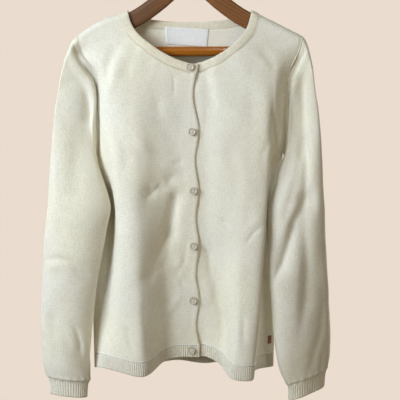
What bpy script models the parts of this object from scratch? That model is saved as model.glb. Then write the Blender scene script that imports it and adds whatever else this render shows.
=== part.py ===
"""A fine knitted cardigan, buttoned up and hung on a wooden hanger.

The cloth is cut as flat pieces (a width across and a height), and each piece is hung by
functions that carry a point of the flat cut to its place in the folds. Lengths are in
millimetres until a mesh is made. +Z is up, the front faces -Y and the origin is the inside
top of the hook, where the hanger hangs.
"""
import math

import bpy
import numpy as np

METRES = 0.001

# Garment sizes
CLOTH = 1.5                 # wall of the knitted cloth
SEAM_GAP = 0.45             # half of the space left between two sewn pieces
NECK_SEAM_X = 98.0          # half width of the neck hole at its seam
NECK_SEAM_Z = -119.0        # height of the shoulder seam at the neck
SHOULDER_X = 160.0          # half of the shoulder width
SHOULDER_SLOPE = 0.5        # drop of the shoulder seam for each millimetre outwards
BODY_LENGTH = 521.0         # neck seam to hem, along the cloth
HEM_RIB = 22.0
ARMHOLE_DEPTH = 172.0
CHEST_HALF = 186.0          # half of one front at the underarm, as cut
HEM_HALF = 190.0
ACROSS_HALF = 150.0         # narrowest half width between the armholes
FRONT_NECK_DROP = 86.0
BACK_NECK_DROP = 27.0
NECK_ROUNDNESS = 0.66       # 0.5 is an oval neckline; more draws it in towards the buttons
NECK_GAP = 0.65             # the neckband starts this far past the neck seam
RIGHT_SHOULDER_RISE = 5.5   # the right shoulder stands off the hanger between neck and tip
RISE_FADE = 70.0            # distance below the shoulder in which that rise dies away
OVER_EDGE = 6.5             # the upper front's edge, past the button line
UNDER_EDGE = 11.0           # the lower front's edge, past the button line
LAP = 3.3                   # the lower front lies this far behind the upper one
LAP_FLAT = 8.0              # half width across which it lies that far behind
LAP_FADE = 30.0             # and the width in which it comes forward again
NECKBAND_WIDTH = 12.0
NECKBAND_WALL = 2.4
SHOULDER_ROLL = 8.2         # radius of the cloth over the hanger's arms
HANG_FADE = 55.0            # distance below the arms in which the cloth comes free of them

BUTTON_HEIGHTS = (-193.0, -284.0, -369.0, -449.5, -530.0, -605.0)
BUTTON_X = (0.5, 3.0, 5.0, 5.0, 4.5, 1.8)
BUTTON_ACROSS = 10.4
BUTTON_THICK = 2.8
BUTTON_STANDS = 0.7         # clear of the cloth
BUTTON_SIDES = 14
SCALLOP = 2.2               # how far the front edge bows out at each button
SCALLOP_FADE = 26.0         # width of cloth that bows out with the edge
NECK_DRAW = 3.0             # how far the edge is drawn in at the neckband
NECK_DRAW_FADE = (-262.0, 55.0)   # height where that begins, and its length
BAY_DEPTHS = (6.6, 4.6, 4.2, 4.4, 4.4)   # how far it draws in between two buttons

RIB_PITCH = 3.0
RIB_RELIEF = 0.45
CUFF_RIBS = 44
HEM_INSIDE_STEP = 6         # the plain inside keeps one column of six, behind three ribs
CUFF_INSIDE_STEP = 4

# Body sections. Each row is the height, then (x, y) of the named columns, in plan.
# Right front: centre, band, hollow, ridge, flank, tuck, seam.
RIGHT_FRONT = (
    (-640, (5, -8), (-14, -8), (-31, -5), (-70, -48), (-100, -40), (-128, -20), (-141, 4)),
    (-560, (5, -10), (-14, -10), (-32, -8), (-72, -45), (-100, -38), (-126, -10), (-143, 10)),
    (-480, (5, -13), (-14, -13), (-36, -13), (-74, -40), (-98, -36), (-118, -4), (-146, 14)),
    (-400, (5, -16), (-14, -16), (-36, -19), (-76, -37), (-97, -33), (-115, 1), (-147, 15)),
    (-345, (5, -18), (-14, -18), (-38, -22), (-78, -34), (-103, -30), (-121, -3), (-141, 12)),
    (-310, (5, -19), (-14, -19), (-40, -23), (-80, -32), (-108, -27), (-124, -9), (-133, 7)),
    (-260, (5, -20), (-14, -20), (-42, -24), (-82, -29), (-108, -25), (-122, -16), (-131, -5)),
    (-205, (5, -20), (-14, -20), (-42, -22), (-82, -24), (-108, -22), (-123, -17), (-133, -10)),
    (-170, (5, -18), (-14, -18), (-42, -18), (-82, -18), (-112, -16), (-132, -13), (-146, -10)),
    (-140, (5, -14), (-14, -14), (-42, -14), (-84, -13), (-114, -12), (-140, -10), (-161, -9)),
    (-90, (5, -11), (-14, -11), (-42, -11), (-84, -10), (-114, -10), (-140, -9), (-161, -9)),
)
# Left front, the same columns mirrored. LAP is added to y near the buttons.
LEFT_FRONT = (
    (-640, (5, -8), (24, -8), (40, -12), (64, -50), (86, -48), (94, -12), (124, 25)),
    (-560, (5, -10), (24, -10), (44, -14), (72, -43), (96, -41), (101, -8), (125, 22)),
    (-480, (5, -13), (24, -13), (46, -18), (76, -36), (103, -34), (104, -4), (128, 19)),
    (-400, (5, -16), (24, -16), (46, -22), (80, -31), (108, -29), (107, -3), (131, 16)),
    (-345, (5, -18), (24, -18), (46, -23), (83, -30), (113, -27), (114, -5), (132, 12)),
    (-310, (5, -19), (24, -19), (46, -24), (84, -29), (114, -26), (119, -9), (134, 6)),
    (-260, (5, -20), (24, -20), (46, -24), (84, -28), (114, -26), (122, -13), (136, -4)),
    (-205, (5, -20), (24, -20), (46, -22), (84, -24), (114, -22), (126, -14), (139, -9)),
    (-170, (5, -18), (24, -18), (46, -18), (84, -18), (112, -16), (133, -12), (147, -10)),
    (-140, (5, -14), (24, -14), (46, -14), (84, -13), (114, -12), (140, -10), (160, -9)),
    (-90, (5, -11), (24, -11), (46, -11), (84, -10), (114, -10), (140, -9), (160, -9)),
)
# Back, from the right side seam to the left one: seam, turn, five folds, turn, seam.
BACK = (
    (-640, (-141, 5), (-137, 24), (-104, 41), (-62, 25), (-20, 46), (22, 28), (64, 47),
     (104, 40), (125, 26)),
    (-560, (-143, 11), (-138, 26), (-104, 39), (-62, 26), (-20, 43), (22, 28), (64, 43),
     (104, 37), (126, 23)),
    (-480, (-146, 15), (-139, 28), (-104, 36), (-62, 27), (-20, 39), (22, 29), (64, 38),
     (106, 33), (129, 20)),
    (-400, (-147, 16), (-139, 27), (-104, 33), (-62, 27), (-20, 35), (22, 29), (64, 34),
     (108, 29), (132, 17)),
    (-345, (-141, 13), (-135, 24), (-104, 30), (-62, 27), (-20, 32), (22, 29), (64, 31),
     (106, 26), (133, 13)),
    (-310, (-133, 8), (-130, 19), (-104, 26), (-62, 26), (-20, 29), (22, 28), (64, 28),
     (106, 23), (135, 7)),
    (-260, (-131, 6), (-124, 15), (-104, 20), (-62, 22), (-20, 25), (22, 25), (64, 24),
     (106, 18), (136, 6)),
    (-205, (-134, 9), (-124, 13), (-104, 16), (-62, 18), (-20, 20), (22, 20), (64, 18),
     (108, 14), (139, 9)),
    (-170, (-146, 9), (-132, 11), (-104, 13), (-62, 14), (-20, 15), (22, 15), (64, 14),
     (116, 11), (147, 9)),
    (-140, (-161, 9), (-140, 9), (-104, 10), (-62, 12), (-20, 12), (22, 12), (64, 12),
     (116, 10), (160, 9)),
    (-90, (-161, 9), (-140, 9), (-104, 9), (-62, 10), (-20, 10), (22, 10), (64, 10),
     (116, 9), (160, 9)),
)
# How far each column of the fronts is held up at the hem; it fades out upwards.
RIGHT_HEM_LIFT = (20, 20, 16, 1, 6, 7, 1)
LEFT_HEM_LIFT = (20, 20, 14, -3, -5, 0, -4)
HEM_LIFT_FADE = 230.0

# Sleeve rings below the elbow bend: height, x and y of the centre, half width as seen from
# the front, half depth, slope of the ring (rise for each millimetre towards +X), and the
# degrees by which its front is turned outwards.
RIGHT_SLEEVE = (
    (-400, -160, -14, 45, 18, 0.0, 0),
    (-455, -169, -14, 42, 19, 0.0, 0),
    (-530, -177, -13, 38, 19, 0.0, 0),
    (-604, -181, -11, 35, 19, -0.03, 0),
    (-630, -181, -10, 34, 18, -0.08, 0),
    (-647, -179, -10, 31, 15, -0.12, 0),
)
LEFT_SLEEVE = (
    (-400, 153, -8, 41, 18, 0.0, 2),
    (-455, 155, -6, 43, 19, 0.0, 11),
    (-530, 161, -4, 43, 19, 0.0, 22),
    (-604, 167, -2, 41, 19, 0.06, 27),
    (-630, 170, 0, 37, 18, 0.18, 28),
    (-647, 173, 0, 31, 15, 0.28, 28),
)
# Way in which a sleeve leaves the armhole: way round (0 at the tip, 0.25 in front,
# 0.5 at the underarm), outward, backward, upward, reach and the room left at the seam.
SLEEVE_HEAD = (
    (0.00, 0.90, 0.00, -0.54, 0.47, 0.5),
    (0.12, 0.70, 0.14, -0.62, 0.66, 0.5),
    (0.25, 0.50, 0.34, -0.70, 0.86, 0.5),
    (0.33, 0.58, 0.12, -0.62, 0.80, 0.8),
    (0.42, 0.80, -0.40, -0.40, 0.60, 1.8),
    (0.50, 0.80, -0.55, -0.35, 0.60, 1.8),
    (0.58, 0.80, -0.40, -0.40, 0.60, 1.5),
    (0.70, 0.56, -0.02, -0.68, 0.80, 1.3),
    (0.85, 0.60, 0.06, -0.66, 0.74, 1.5),
    (1.00, 0.90, 0.00, -0.54, 0.47, 0.5),
)
# How far each sleeve stands out from the shoulder tip before it falls.
TIP_REACH = {-1: 1.0, 1: 0.6}
SHARPEST_TURN = 2.0
CUFF_DEPTH = 25.0
CUFF_GAP = 0.85
# Cuff rings: part of the way down, half width and half depth.
CUFF_RINGS = ((0.0, 29.0, 13.5), (0.35, 27.5, 12.5), (1.0, 26.0, 12.0))

# Large folds pressed into a piece: start and end as (across, height) of the flat cut,
# half width, depth.
RIGHT_FRONT_FOLDS = (
    ((28, -388), (40, -440), 10, 6.0),
    ((40, -440), (72, -492), 12, 5.0),
    ((66, -374), (38, -358), 10, 3.0),
)
LEFT_FRONT_FOLDS = (
    ((30, -470), (52, -600), 14, 3.5),
)
# Folds of a sleeve: start and end as (way round, height), half width, depth. The way
# round is 0 at the outside, 0.25 in front, 0.5 inside.
RIGHT_SLEEVE_FOLDS = (
    ((0.10, -176), (0.24, -262), 10, 4.5),
    ((0.16, -560), (0.40, -620), 12, 3.5),
)
LEFT_SLEEVE_FOLDS = (
    ((0.10, -190), (0.21, -312), 9, 3.0),
    ((0.18, -300), (0.20, -381), 10, 3.5),
    ((0.20, -381), (0.36, -474), 11, 4.5),
    ((0.20, -390), (0.25, -527), 11, 3.0),
)

# Hanger sizes
ARM_HEIGHT = 24.0
ARM_THICK = 11.0
ARM_TOP = ((0, -60), (22, -68), (48, -90), (76, -110.5), (98, -122), (125, -135.5), (150, -148))
BAR_ACROSS = 14.5
BAR_Z = -171.0
BAR_HALF = 134.0
HOOK_WIRE = 3.6
HOOK_RADIUS = 17.0
SHANK_IN = 11.0             # depth of the hook's shank in the arms
SOCKET_ROOM = 0.4           # each socket's room round the bar or the shank
ARM_STATIONS = 31
ARM_SIDES = 12
ARM_ROUNDING = 0.55         # 1 is an oval section; less is a squarer one
ARM_TIP_SIZES = (0.55, 0.85, 1.0)

MATERIALS = {
    "knit": ((0.80, 0.77, 0.66), 0.85, 0.0),
    "button": ((0.78, 0.74, 0.66), 0.30, 0.0),
    "label": ((0.86, 0.85, 0.82), 0.70, 0.0),
    "tab": ((0.20, 0.09, 0.05), 0.60, 0.0),
    "wood": ((0.16, 0.07, 0.03), 0.45, 0.0),
    "varnished_wood": ((0.30, 0.11, 0.03), 0.30, 0.0),
    "steel": ((0.60, 0.60, 0.62), 0.30, 1.0),
}


# ---------------------------------------------------------------- curves

def smooth(knots, values, wanted):
    """Cubic curve through the values at the knots, read at the wanted places."""
    knots = np.asarray(knots, float)
    values = np.asarray(values, float)
    wanted = np.clip(np.asarray(wanted, float), knots[0], knots[-1])
    slopes = np.gradient(values, knots, axis=0)
    k = np.clip(np.searchsorted(knots, wanted, side="right") - 1, 0, len(knots) - 2)
    span = knots[k + 1] - knots[k]
    t = ((wanted - knots[k]) / span)[..., None]
    span = span[..., None]
    flat = values.reshape(len(knots), -1)
    turn = slopes.reshape(len(knots), -1)
    found = (
        (2 * t**3 - 3 * t**2 + 1) * flat[k]
        + (t**3 - 2 * t**2 + t) * span * turn[k]
        + (3 * t**2 - 2 * t**3) * flat[k + 1]
        + (t**3 - t**2) * span * turn[k + 1]
    )
    return found.reshape(wanted.shape + values.shape[1:])


def ease(t):
    """Smooth step from 0 to 1."""
    t = np.clip(t, 0.0, 1.0)
    return t * t * (3 - 2 * t)


LEVELS = np.linspace(-640.0, -90.0, 221)
STEPS = 161


def section_sheet(rows, hem_lift=None):
    """Every section of a table, as points evenly spaced along it at each level."""
    heights = [row[0] for row in rows]
    columns = np.array([row[1:] for row in rows], float)
    controls = smooth(heights, columns, LEVELS)
    lift = np.zeros(controls.shape[:2] + (1,))
    if hem_lift is not None:
        fade = np.clip(1 - (LEVELS - LEVELS[0]) / HEM_LIFT_FADE, 0, 1) ** 1.6
        lift[:, :, 0] = fade[:, None] * np.array(hem_lift, float)[None, :]
    controls = np.concatenate([controls, lift], axis=2)
    sheet = np.empty((len(LEVELS), STEPS, 3))
    for i, points in enumerate(controls):
        chords = np.linalg.norm(np.diff(points[:, :2], axis=0), axis=1)
        knots = np.concatenate([[0.0], np.cumsum(chords)])
        fine = smooth(knots, points, np.linspace(0, knots[-1], 400))
        run = np.linalg.norm(np.diff(fine[:, :2], axis=0), axis=1)
        way = np.concatenate([[0.0], np.cumsum(run)])
        even = np.linspace(0, way[-1], STEPS)
        for axis in range(3):
            sheet[i, :, axis] = np.interp(even, way, fine[:, axis])
    return sheet


def read_sheet(sheet, part, height):
    """Point of a sheet at a part of the way across (0 to 1, or a little outside)."""
    place = np.clip(np.interp(height, LEVELS, np.arange(len(LEVELS))), 0, len(LEVELS) - 1.001)
    row = place.astype(int)
    up = (place - row)[..., None]
    across = part * (STEPS - 1)
    column = np.clip(np.floor(across).astype(int), 0, STEPS - 2)
    along = (across - column)[..., None]
    low = sheet[row, column] * (1 - along) + sheet[row, column + 1] * along
    high = sheet[row + 1, column] * (1 - along) + sheet[row + 1, column + 1] * along
    return low * (1 - up) + high * up


# ---------------------------------------------------------------- the flat cut

ROLL_TAKEN = SHOULDER_ROLL * (math.pi / 2 - 1)
HEM_Z = NECK_SEAM_Z - BODY_LENGTH
RIB_TOP_Z = HEM_Z + HEM_RIB
TIP_Z = NECK_SEAM_Z - (SHOULDER_X - NECK_SEAM_X) * SHOULDER_SLOPE
UNDERARM_Z = TIP_Z - ARMHOLE_DEPTH
ARMHOLE_CURVE = 0.38        # part of the armhole's height taken by its lower curve


def edge_half(height):
    """Half width of the flat cut at a height: side seam below, armhole above."""
    height = np.asarray(height, float)
    side = HEM_HALF + (CHEST_HALF - HEM_HALF) * ease((height - HEM_Z) / (UNDERARM_Z - HEM_Z))
    rise = (height - UNDERARM_Z) / (TIP_Z - UNDERARM_Z)
    low = np.clip(1 - rise / ARMHOLE_CURVE, 0, 1)
    high = np.clip((rise - ARMHOLE_CURVE) / (1 - ARMHOLE_CURVE), 0, 1)
    arm = (ACROSS_HALF + (CHEST_HALF - ACROSS_HALF) * low**2.2
           + (SHOULDER_X - ACROSS_HALF) * high**1.8)
    return np.where(height < UNDERARM_Z, side, arm)


def shoulder_height(across):
    return NECK_SEAM_Z - (np.abs(across) - NECK_SEAM_X) * SHOULDER_SLOPE


def front_neckline(t):
    """Neck seam of a front from the neck point (0) to the button line (1)."""
    across = NECK_SEAM_X * np.clip(1 - t**2.0, 0, 1) ** NECK_ROUNDNESS
    return across, NECK_SEAM_Z - FRONT_NECK_DROP * t


def back_neckline(t):
    """Neck seam of the back from the neck point (0) to the middle (1)."""
    angle = t * math.pi / 2
    across = NECK_SEAM_X * np.cos(angle)
    return across, NECK_SEAM_Z - BACK_NECK_DROP * np.sin(angle) ** 0.8


# ---------------------------------------------------------------- hanging the cloth

def press_folds(across, height, folds):
    """Depth of a panel's pressed folds at a point of its flat cut."""
    depth = np.zeros_like(across)
    for (x0, z0), (x1, z1), width, most in folds:
        run = np.array([x1 - x0, z1 - z0], float)
        long = np.linalg.norm(run)
        along = ((across - x0) * run[0] + (height - z0) * run[1]) / long
        beside = ((across - x0) * run[1] - (height - z0) * run[0]) / long
        past = np.maximum(np.maximum(-along, along - long), 0) / (1.5 * width)
        depth += most * np.exp(-((beside / width) ** 2)) * np.exp(-(past**2))
    return depth


class Panel:
    """One knitted piece of the body: its section table, its side and its folds."""

    def __init__(self, rows, side, facing, hem_lift=None, lap=0.0, folds=()):
        self.sheet = section_sheet(rows, hem_lift)
        self.side = side          # -1: the right front, 1: the left front, 0: the back
        self.facing = facing      # -1: hangs in front of the hanger, 1: behind it
        self.lap = lap
        self.folds = folds

    def hang(self, across, height):
        """Place in space of points of the flat cut."""
        across = np.asarray(across, float)
        height = np.asarray(height, float)
        below = shoulder_height(across) - height
        level = height + ROLL_TAKEN
        part = across / edge_half(np.minimum(height, TIP_Z))
        if self.side == 0:
            part = (part + 1) / 2
        place = read_sheet(self.sheet, part, level)
        x, y, lift = place[..., 0], place[..., 1], place[..., 2]
        y = y + self.lap * (1 - ease((np.abs(across) - LAP_FLAT) / LAP_FADE))
        y = y - self.facing * press_folds(across, height, self.folds)
        quarter = SHOULDER_ROLL * math.pi / 2
        angle = np.clip(below, 0, quarter) / SHOULDER_ROLL
        rolled = self.facing * SHOULDER_ROLL * np.sin(angle)
        free = ease((below - quarter) / HANG_FADE)
        y = rolled * (1 - free) + y * free
        seated = across if self.side == 0 else self.side * across
        x = seated * (1 - free) + x * free
        drop = SHOULDER_ROLL * (1 - np.cos(angle)) + np.maximum(below - quarter, 0)
        z = shoulder_height(across) - drop + lift
        rise = np.sin(math.pi * np.clip((-seated - NECK_SEAM_X) / (SHOULDER_X - NECK_SEAM_X), 0, 1))
        z = z + RIGHT_SHOULDER_RISE * rise * (1 - ease(below / RISE_FADE))
        if self.side == -1:
            x = x + scallop(z) * (1 - ease((across + OVER_EDGE) / SCALLOP_FADE))
        return np.stack([x, y, z], axis=-1)


def scallop(height):
    """How far the front edge stands out: it bows out at each button, less at the neck."""
    stations = BUTTON_HEIGHTS[::-1]
    turns = np.interp(height, stations, np.arange(len(stations)))
    bay = np.clip(turns.astype(int), 0, len(BAY_DEPTHS) - 1)
    drawn = NECK_DRAW * ease((height - NECK_DRAW_FADE[0]) / NECK_DRAW_FADE[1])
    return SCALLOP - drawn - np.array(BAY_DEPTHS[::-1])[bay] * np.sin(math.pi * turns) ** 2


RIGHT = Panel(RIGHT_FRONT, -1, -1, RIGHT_HEM_LIFT, 0.0, RIGHT_FRONT_FOLDS)
LEFT = Panel(LEFT_FRONT, 1, -1, LEFT_HEM_LIFT, LAP, LEFT_FRONT_FOLDS)
REAR = Panel(BACK, 0, 1)


# ---------------------------------------------------------------- grids of the flat cut

def boundary(points, count):
    """Points evenly spaced along a line of the flat cut."""
    points = np.array(points, float)
    run = np.linalg.norm(np.diff(points, axis=0), axis=1)
    way = np.concatenate([[0.0], np.cumsum(run)])
    even = np.linspace(0, way[-1], count)
    return np.stack([np.interp(even, way, points[:, k]) for k in range(2)], axis=1)


def fill_patch(bottom, top, left, right):
    """Flat grid between four edges; bottom and top run across, left and right run up."""
    s = np.linspace(0, 1, len(bottom))[None, :, None]
    t = np.linspace(0, 1, len(left))[:, None, None]
    ruled = (1 - t) * bottom[None] + t * top[None] + (1 - s) * left[:, None] + s * right[:, None]
    corners = ((1 - s) * (1 - t) * bottom[0] + s * (1 - t) * bottom[-1]
               + (1 - s) * t * top[0] + s * t * top[-1])
    return ruled - corners


# Distances from the shoulder at which the cloth has rows, so that it rolls over the arm.
ROLL_ROWS = (0.0, 4.3, 8.6, 13.2, 21.0, 33.0)


def at_distances(points, distances):
    """Points of a line at the given distances from its start."""
    points = np.array(points, float)
    run = np.linalg.norm(np.diff(points, axis=0), axis=1)
    way = np.concatenate([[0.0], np.cumsum(run)])
    return np.stack([np.interp(distances, way, points[:, k]) for k in range(2)], axis=1)


def roll_stations(length, count):
    """Distances from a roll: the close rows first, then even ones to the far end."""
    far = np.linspace(ROLL_ROWS[-1], length, count - len(ROLL_ROWS) + 1)
    return np.concatenate([ROLL_ROWS, far[1:]])


def line_length(points):
    return float(np.linalg.norm(np.diff(points, axis=0), axis=1).sum())


def side_edge(bottom_z, count, sign=1):
    """Side seam and armhole from the bottom up, close together near the shoulder."""
    heights = np.linspace(TIP_Z, bottom_z, 300)
    line = np.stack([sign * (edge_half(heights) - SEAM_GAP), heights], axis=1)
    return at_distances(line, roll_stations(line_length(line), count))[::-1]


def neck_stations(line, count):
    """Points of a neck seam from the neck point on, close together near it."""
    fine = np.stack(line(np.linspace(0, 1, 300)), axis=1)
    return at_distances(fine, roll_stations(line_length(fine), count))


def shoulder_edge(count):
    """Shoulder seam from the neck seam out to the tip, a seam's gap below the ridge."""
    across = np.linspace(NECK_SEAM_X, SHOULDER_X - SEAM_GAP, count)
    return np.stack([across, shoulder_height(across) - 1.5 * SEAM_GAP], axis=1)


def neck_inward(line):
    """Unit direction from each point of a neck seam to the free edge of its band."""
    run = np.gradient(line, axis=0)
    run /= np.linalg.norm(run, axis=1, keepdims=True)
    normal = np.stack([run[:, 1], -run[:, 0]], axis=1)
    ridge = np.array([-1.0, SHOULDER_SLOPE]) / math.hypot(1.0, SHOULDER_SLOPE)
    near = ease(np.linspace(0, 1, len(line)) / 0.3)[:, None]
    direction = ridge * (1 - near) + normal * near
    return direction / np.linalg.norm(direction, axis=1, keepdims=True)


def front_grid(start, columns, rows, neck_columns):
    """Flat grid of a front; start is how far it reaches past the button line."""
    neck = neck_stations(front_neckline, neck_columns)
    neck = (neck - neck_inward(neck) * SEAM_GAP)[::-1]
    neck_line = np.concatenate([[[-start, neck[0, 1]]], neck])
    neck_line[-1, 1] -= 1.5 * SEAM_GAP
    shoulder = shoulder_edge(columns - neck_columns + 1)
    top = np.concatenate([neck_line, shoulder[1:]])
    bottom_z = RIB_TOP_Z + SEAM_GAP
    bottom = np.linspace((-start, bottom_z), (edge_half(bottom_z) - SEAM_GAP, bottom_z), columns + 1)
    right = side_edge(bottom_z, rows + 1)
    rise = (right[:, 1] - bottom_z) / (right[-1, 1] - bottom_z)
    left = np.array([-start, bottom_z]) * (1 - rise[:, None]) + top[0] * rise[:, None]
    right[-1] = top[-1]
    return fill_patch(bottom, top, left, right)


def back_grid(columns, rows, neck_columns):
    """Flat grid of the whole back; neck_columns is for half of the neck."""
    neck = neck_stations(back_neckline, neck_columns + 1)
    neck = neck - neck_inward(neck) * SEAM_GAP
    neck[0, 1] -= 1.5 * SEAM_GAP
    shoulder = shoulder_edge(columns // 2 - neck_columns + 1)[::-1]
    half = np.concatenate([shoulder, neck[1:]])
    mirrored = half[::-1][1:] * (-1, 1)
    top = np.concatenate([half, mirrored]) * (-1, 1)
    bottom_z = RIB_TOP_Z + SEAM_GAP
    reach = edge_half(bottom_z) - SEAM_GAP
    bottom = np.linspace((-reach, bottom_z), (reach, bottom_z), columns + 1)
    left = side_edge(bottom_z, rows + 1, -1)
    right = side_edge(bottom_z, rows + 1, 1)
    left[-1] = top[0]
    right[-1] = top[-1]
    return fill_patch(bottom, top, left, right)


# ---------------------------------------------------------------- walls

def surface_normals(points, closed=False):
    """Unit normals of a grid of points: across runs along axis 1, up along axis 0."""
    if closed:
        across = np.roll(points, -1, axis=1) - np.roll(points, 1, axis=1)
    else:
        across = np.gradient(points, axis=1)
    up = np.gradient(points, axis=0)
    normals = np.cross(across, up)
    return normals / np.linalg.norm(normals, axis=2, keepdims=True)


def make_object(name, points, faces, material, sharp_angle=50.0):
    mesh = bpy.data.meshes.new(name)
    mesh.from_pydata([tuple(p) for p in np.asarray(points) * METRES], [], faces)
    mesh.materials.append(material)
    mesh.shade_smooth()
    mesh.set_sharp_from_angle(angle=math.radians(sharp_angle))
    mesh.validate()
    piece = bpy.data.objects.new(name, mesh)
    bpy.context.scene.collection.objects.link(piece)
    return piece


def wall(name, points, material, thick=CLOTH, closed=False, flip=False):
    """A cloth wall round a grid of points, thick either side of it.

    The outside is where the normal of the grid points (or against it, with flip).
    """
    normals = surface_normals(points, closed) * (-1 if flip else 1)
    rows, columns = points.shape[:2]
    outer = points + normals * thick / 2
    inner = points - normals * thick / 2
    corners = np.concatenate([outer.reshape(-1, 3), inner.reshape(-1, 3)])
    layer = rows * columns

    def at(side, row, column):
        return side * layer + row * columns + column % columns

    faces = []
    last = columns if closed else columns - 1
    for r in range(rows - 1):
        for c in range(last):
            faces.append((at(0, r, c), at(0, r, c + 1), at(0, r + 1, c + 1), at(0, r + 1, c)))
            faces.append((at(1, r, c), at(1, r + 1, c), at(1, r + 1, c + 1), at(1, r, c + 1)))
    for c in range(last):
        faces.append((at(1, 0, c), at(1, 0, c + 1), at(0, 0, c + 1), at(0, 0, c)))
        top = rows - 1
        faces.append((at(0, top, c), at(0, top, c + 1), at(1, top, c + 1), at(1, top, c)))
    if not closed:
        end = columns - 1
        for r in range(rows - 1):
            faces.append((at(0, r, 0), at(0, r + 1, 0), at(1, r + 1, 0), at(1, r, 0)))
            faces.append((at(1, r, end), at(1, r + 1, end), at(0, r + 1, end), at(0, r, end)))
    if flip:
        faces = [face[::-1] for face in faces]
    return make_object(name, corners, faces, material)


def ribbed_wall(name, points, inner_every, material, closed=False, flip=False):
    """A wall whose outer points rise and fall in ribs over a plain inside.

    The grid has two columns for each rib; the inside keeps one column of inner_every.
    """
    normals = surface_normals(points, closed) * (-1 if flip else 1)
    rows, columns = points.shape[:2]
    rise = np.where(np.arange(columns) % 2 == 1, RIB_RELIEF, 0.0)[None, :, None]
    outer = points + normals * (CLOTH / 2 + rise)
    kept = list(range(0, columns, inner_every))
    if not closed and kept[-1] != columns - 1:
        kept.append(columns - 1)
    inner = (points - normals * CLOTH / 2)[:, kept]
    count = len(kept)
    corners = np.concatenate([outer.reshape(-1, 3), inner.reshape(-1, 3)])
    start = rows * columns

    def out_at(row, column):
        return row * columns + column % columns

    def in_at(row, column):
        return start + row * count + column % count

    faces = []
    last = columns if closed else columns - 1
    for r in range(rows - 1):
        for c in range(last):
            faces.append((out_at(r, c), out_at(r, c + 1), out_at(r + 1, c + 1), out_at(r + 1, c)))
        for c in range(count if closed else count - 1):
            faces.append((in_at(r, c), in_at(r + 1, c), in_at(r + 1, c + 1), in_at(r, c + 1)))
    top = rows - 1
    for k in range(count if closed else count - 1):
        first = kept[k]
        final = kept[k + 1] if k + 1 < count else columns
        for c in range(first, final):
            faces.append((in_at(0, k), out_at(0, c + 1), out_at(0, c)))
            faces.append((in_at(top, k), out_at(top, c), out_at(top, c + 1)))
        faces.append((in_at(0, k), in_at(0, k + 1), out_at(0, final)))
        faces.append((in_at(top, k), out_at(top, final), in_at(top, k + 1)))
    if not closed:
        for r in range(rows - 1):
            faces.append((out_at(r, 0), out_at(r + 1, 0), in_at(r + 1, 0), in_at(r, 0)))
            faces.append((in_at(r, count - 1), in_at(r + 1, count - 1),
                          out_at(r + 1, columns - 1), out_at(r, columns - 1)))
    if flip:
        faces = [face[::-1] for face in faces]
    return make_object(name, corners, faces, material, 80.0)


def trimmed(points, room):
    """The grid with its first row moved on along the cloth by the room for a seam."""
    moved = points.copy()
    step = points[1] - points[0]
    step /= np.linalg.norm(step, axis=1, keepdims=True)
    moved[0] = points[0] + step * np.broadcast_to(room, len(step))[:, None]
    return moved


# ---------------------------------------------------------------- body pieces

def build_body(knit):
    right = front_grid(OVER_EDGE, 17, 26, 13)
    left = front_grid(UNDER_EDGE, 17, 26, 13)
    back = back_grid(28, 25, 9)
    wall("right_front_panel", RIGHT.hang(right[..., 0], right[..., 1]), knit, flip=True)
    wall("left_front_panel", LEFT.hang(left[..., 0], left[..., 1]), knit)
    wall("back_panel", REAR.hang(back[..., 0], back[..., 1]), knit, flip=True)


def rib_grid(panel, first, last):
    """Hung grid of a hem rib between two places across the flat cut."""
    ribs = round(abs(last - first) / RIB_PITCH)
    across = np.linspace(first, last, 2 * ribs + 1)
    grid_x, grid_z = np.meshgrid(across, (HEM_Z, RIB_TOP_Z - SEAM_GAP))
    return panel.hang(grid_x, grid_z)


def build_hem(knit):
    reach = edge_half(HEM_Z) - SEAM_GAP
    for name, panel, first, flip in (
        ("right_front_hem_rib", RIGHT, -OVER_EDGE, True),
        ("left_front_hem_rib", LEFT, -UNDER_EDGE, False),
        ("back_hem_rib", REAR, -reach, True),
    ):
        ribbed_wall(name, rib_grid(panel, first, reach), HEM_INSIDE_STEP, knit, flip=flip)


# ---------------------------------------------------------------- sleeves

def armhole(side, count, outside=0.0):
    """Edge of the armhole, from the shoulder tip by the front to the underarm and back.

    With outside it is the line that far past the edge, as if the cloth went on.
    """
    front = RIGHT if side < 0 else LEFT
    heights = np.linspace(TIP_Z - SEAM_GAP, UNDERARM_Z, 200)
    even = boundary(np.stack([edge_half(heights), heights], axis=1), count // 2 + 1)
    run = np.gradient(even, axis=0)
    run /= np.linalg.norm(run, axis=1, keepdims=True)
    even = even + np.stack([-run[:, 1], run[:, 0]], axis=1) * outside
    ahead = front.hang(even[:, 0], even[:, 1])
    behind = REAR.hang(side * even[:, 0], even[:, 1])
    ahead[0] = behind[0] = (ahead[0] + behind[0]) / 2
    ahead[-1] = behind[-1] = (ahead[-1] + behind[-1]) / 2
    return np.concatenate([ahead[:-1], behind[::-1][:-1]])


def armhole_run(side, count):
    """Way in which a sleeve leaves the armhole, as a direction times its reach."""
    way = np.arange(count) / count
    table = np.array(SLEEVE_HEAD)
    read = smooth(table[:, 0], table[:, 1:], way)
    run = read[:, :3] / np.linalg.norm(read[:, :3], axis=1, keepdims=True) * (side, 1, 1)
    tip = np.clip(np.cos(2 * math.pi * way), 0, 1) ** 2
    reach = read[:, 3] * (1 - tip * (1 - TIP_REACH[side]))
    return run * reach[:, None]


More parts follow.
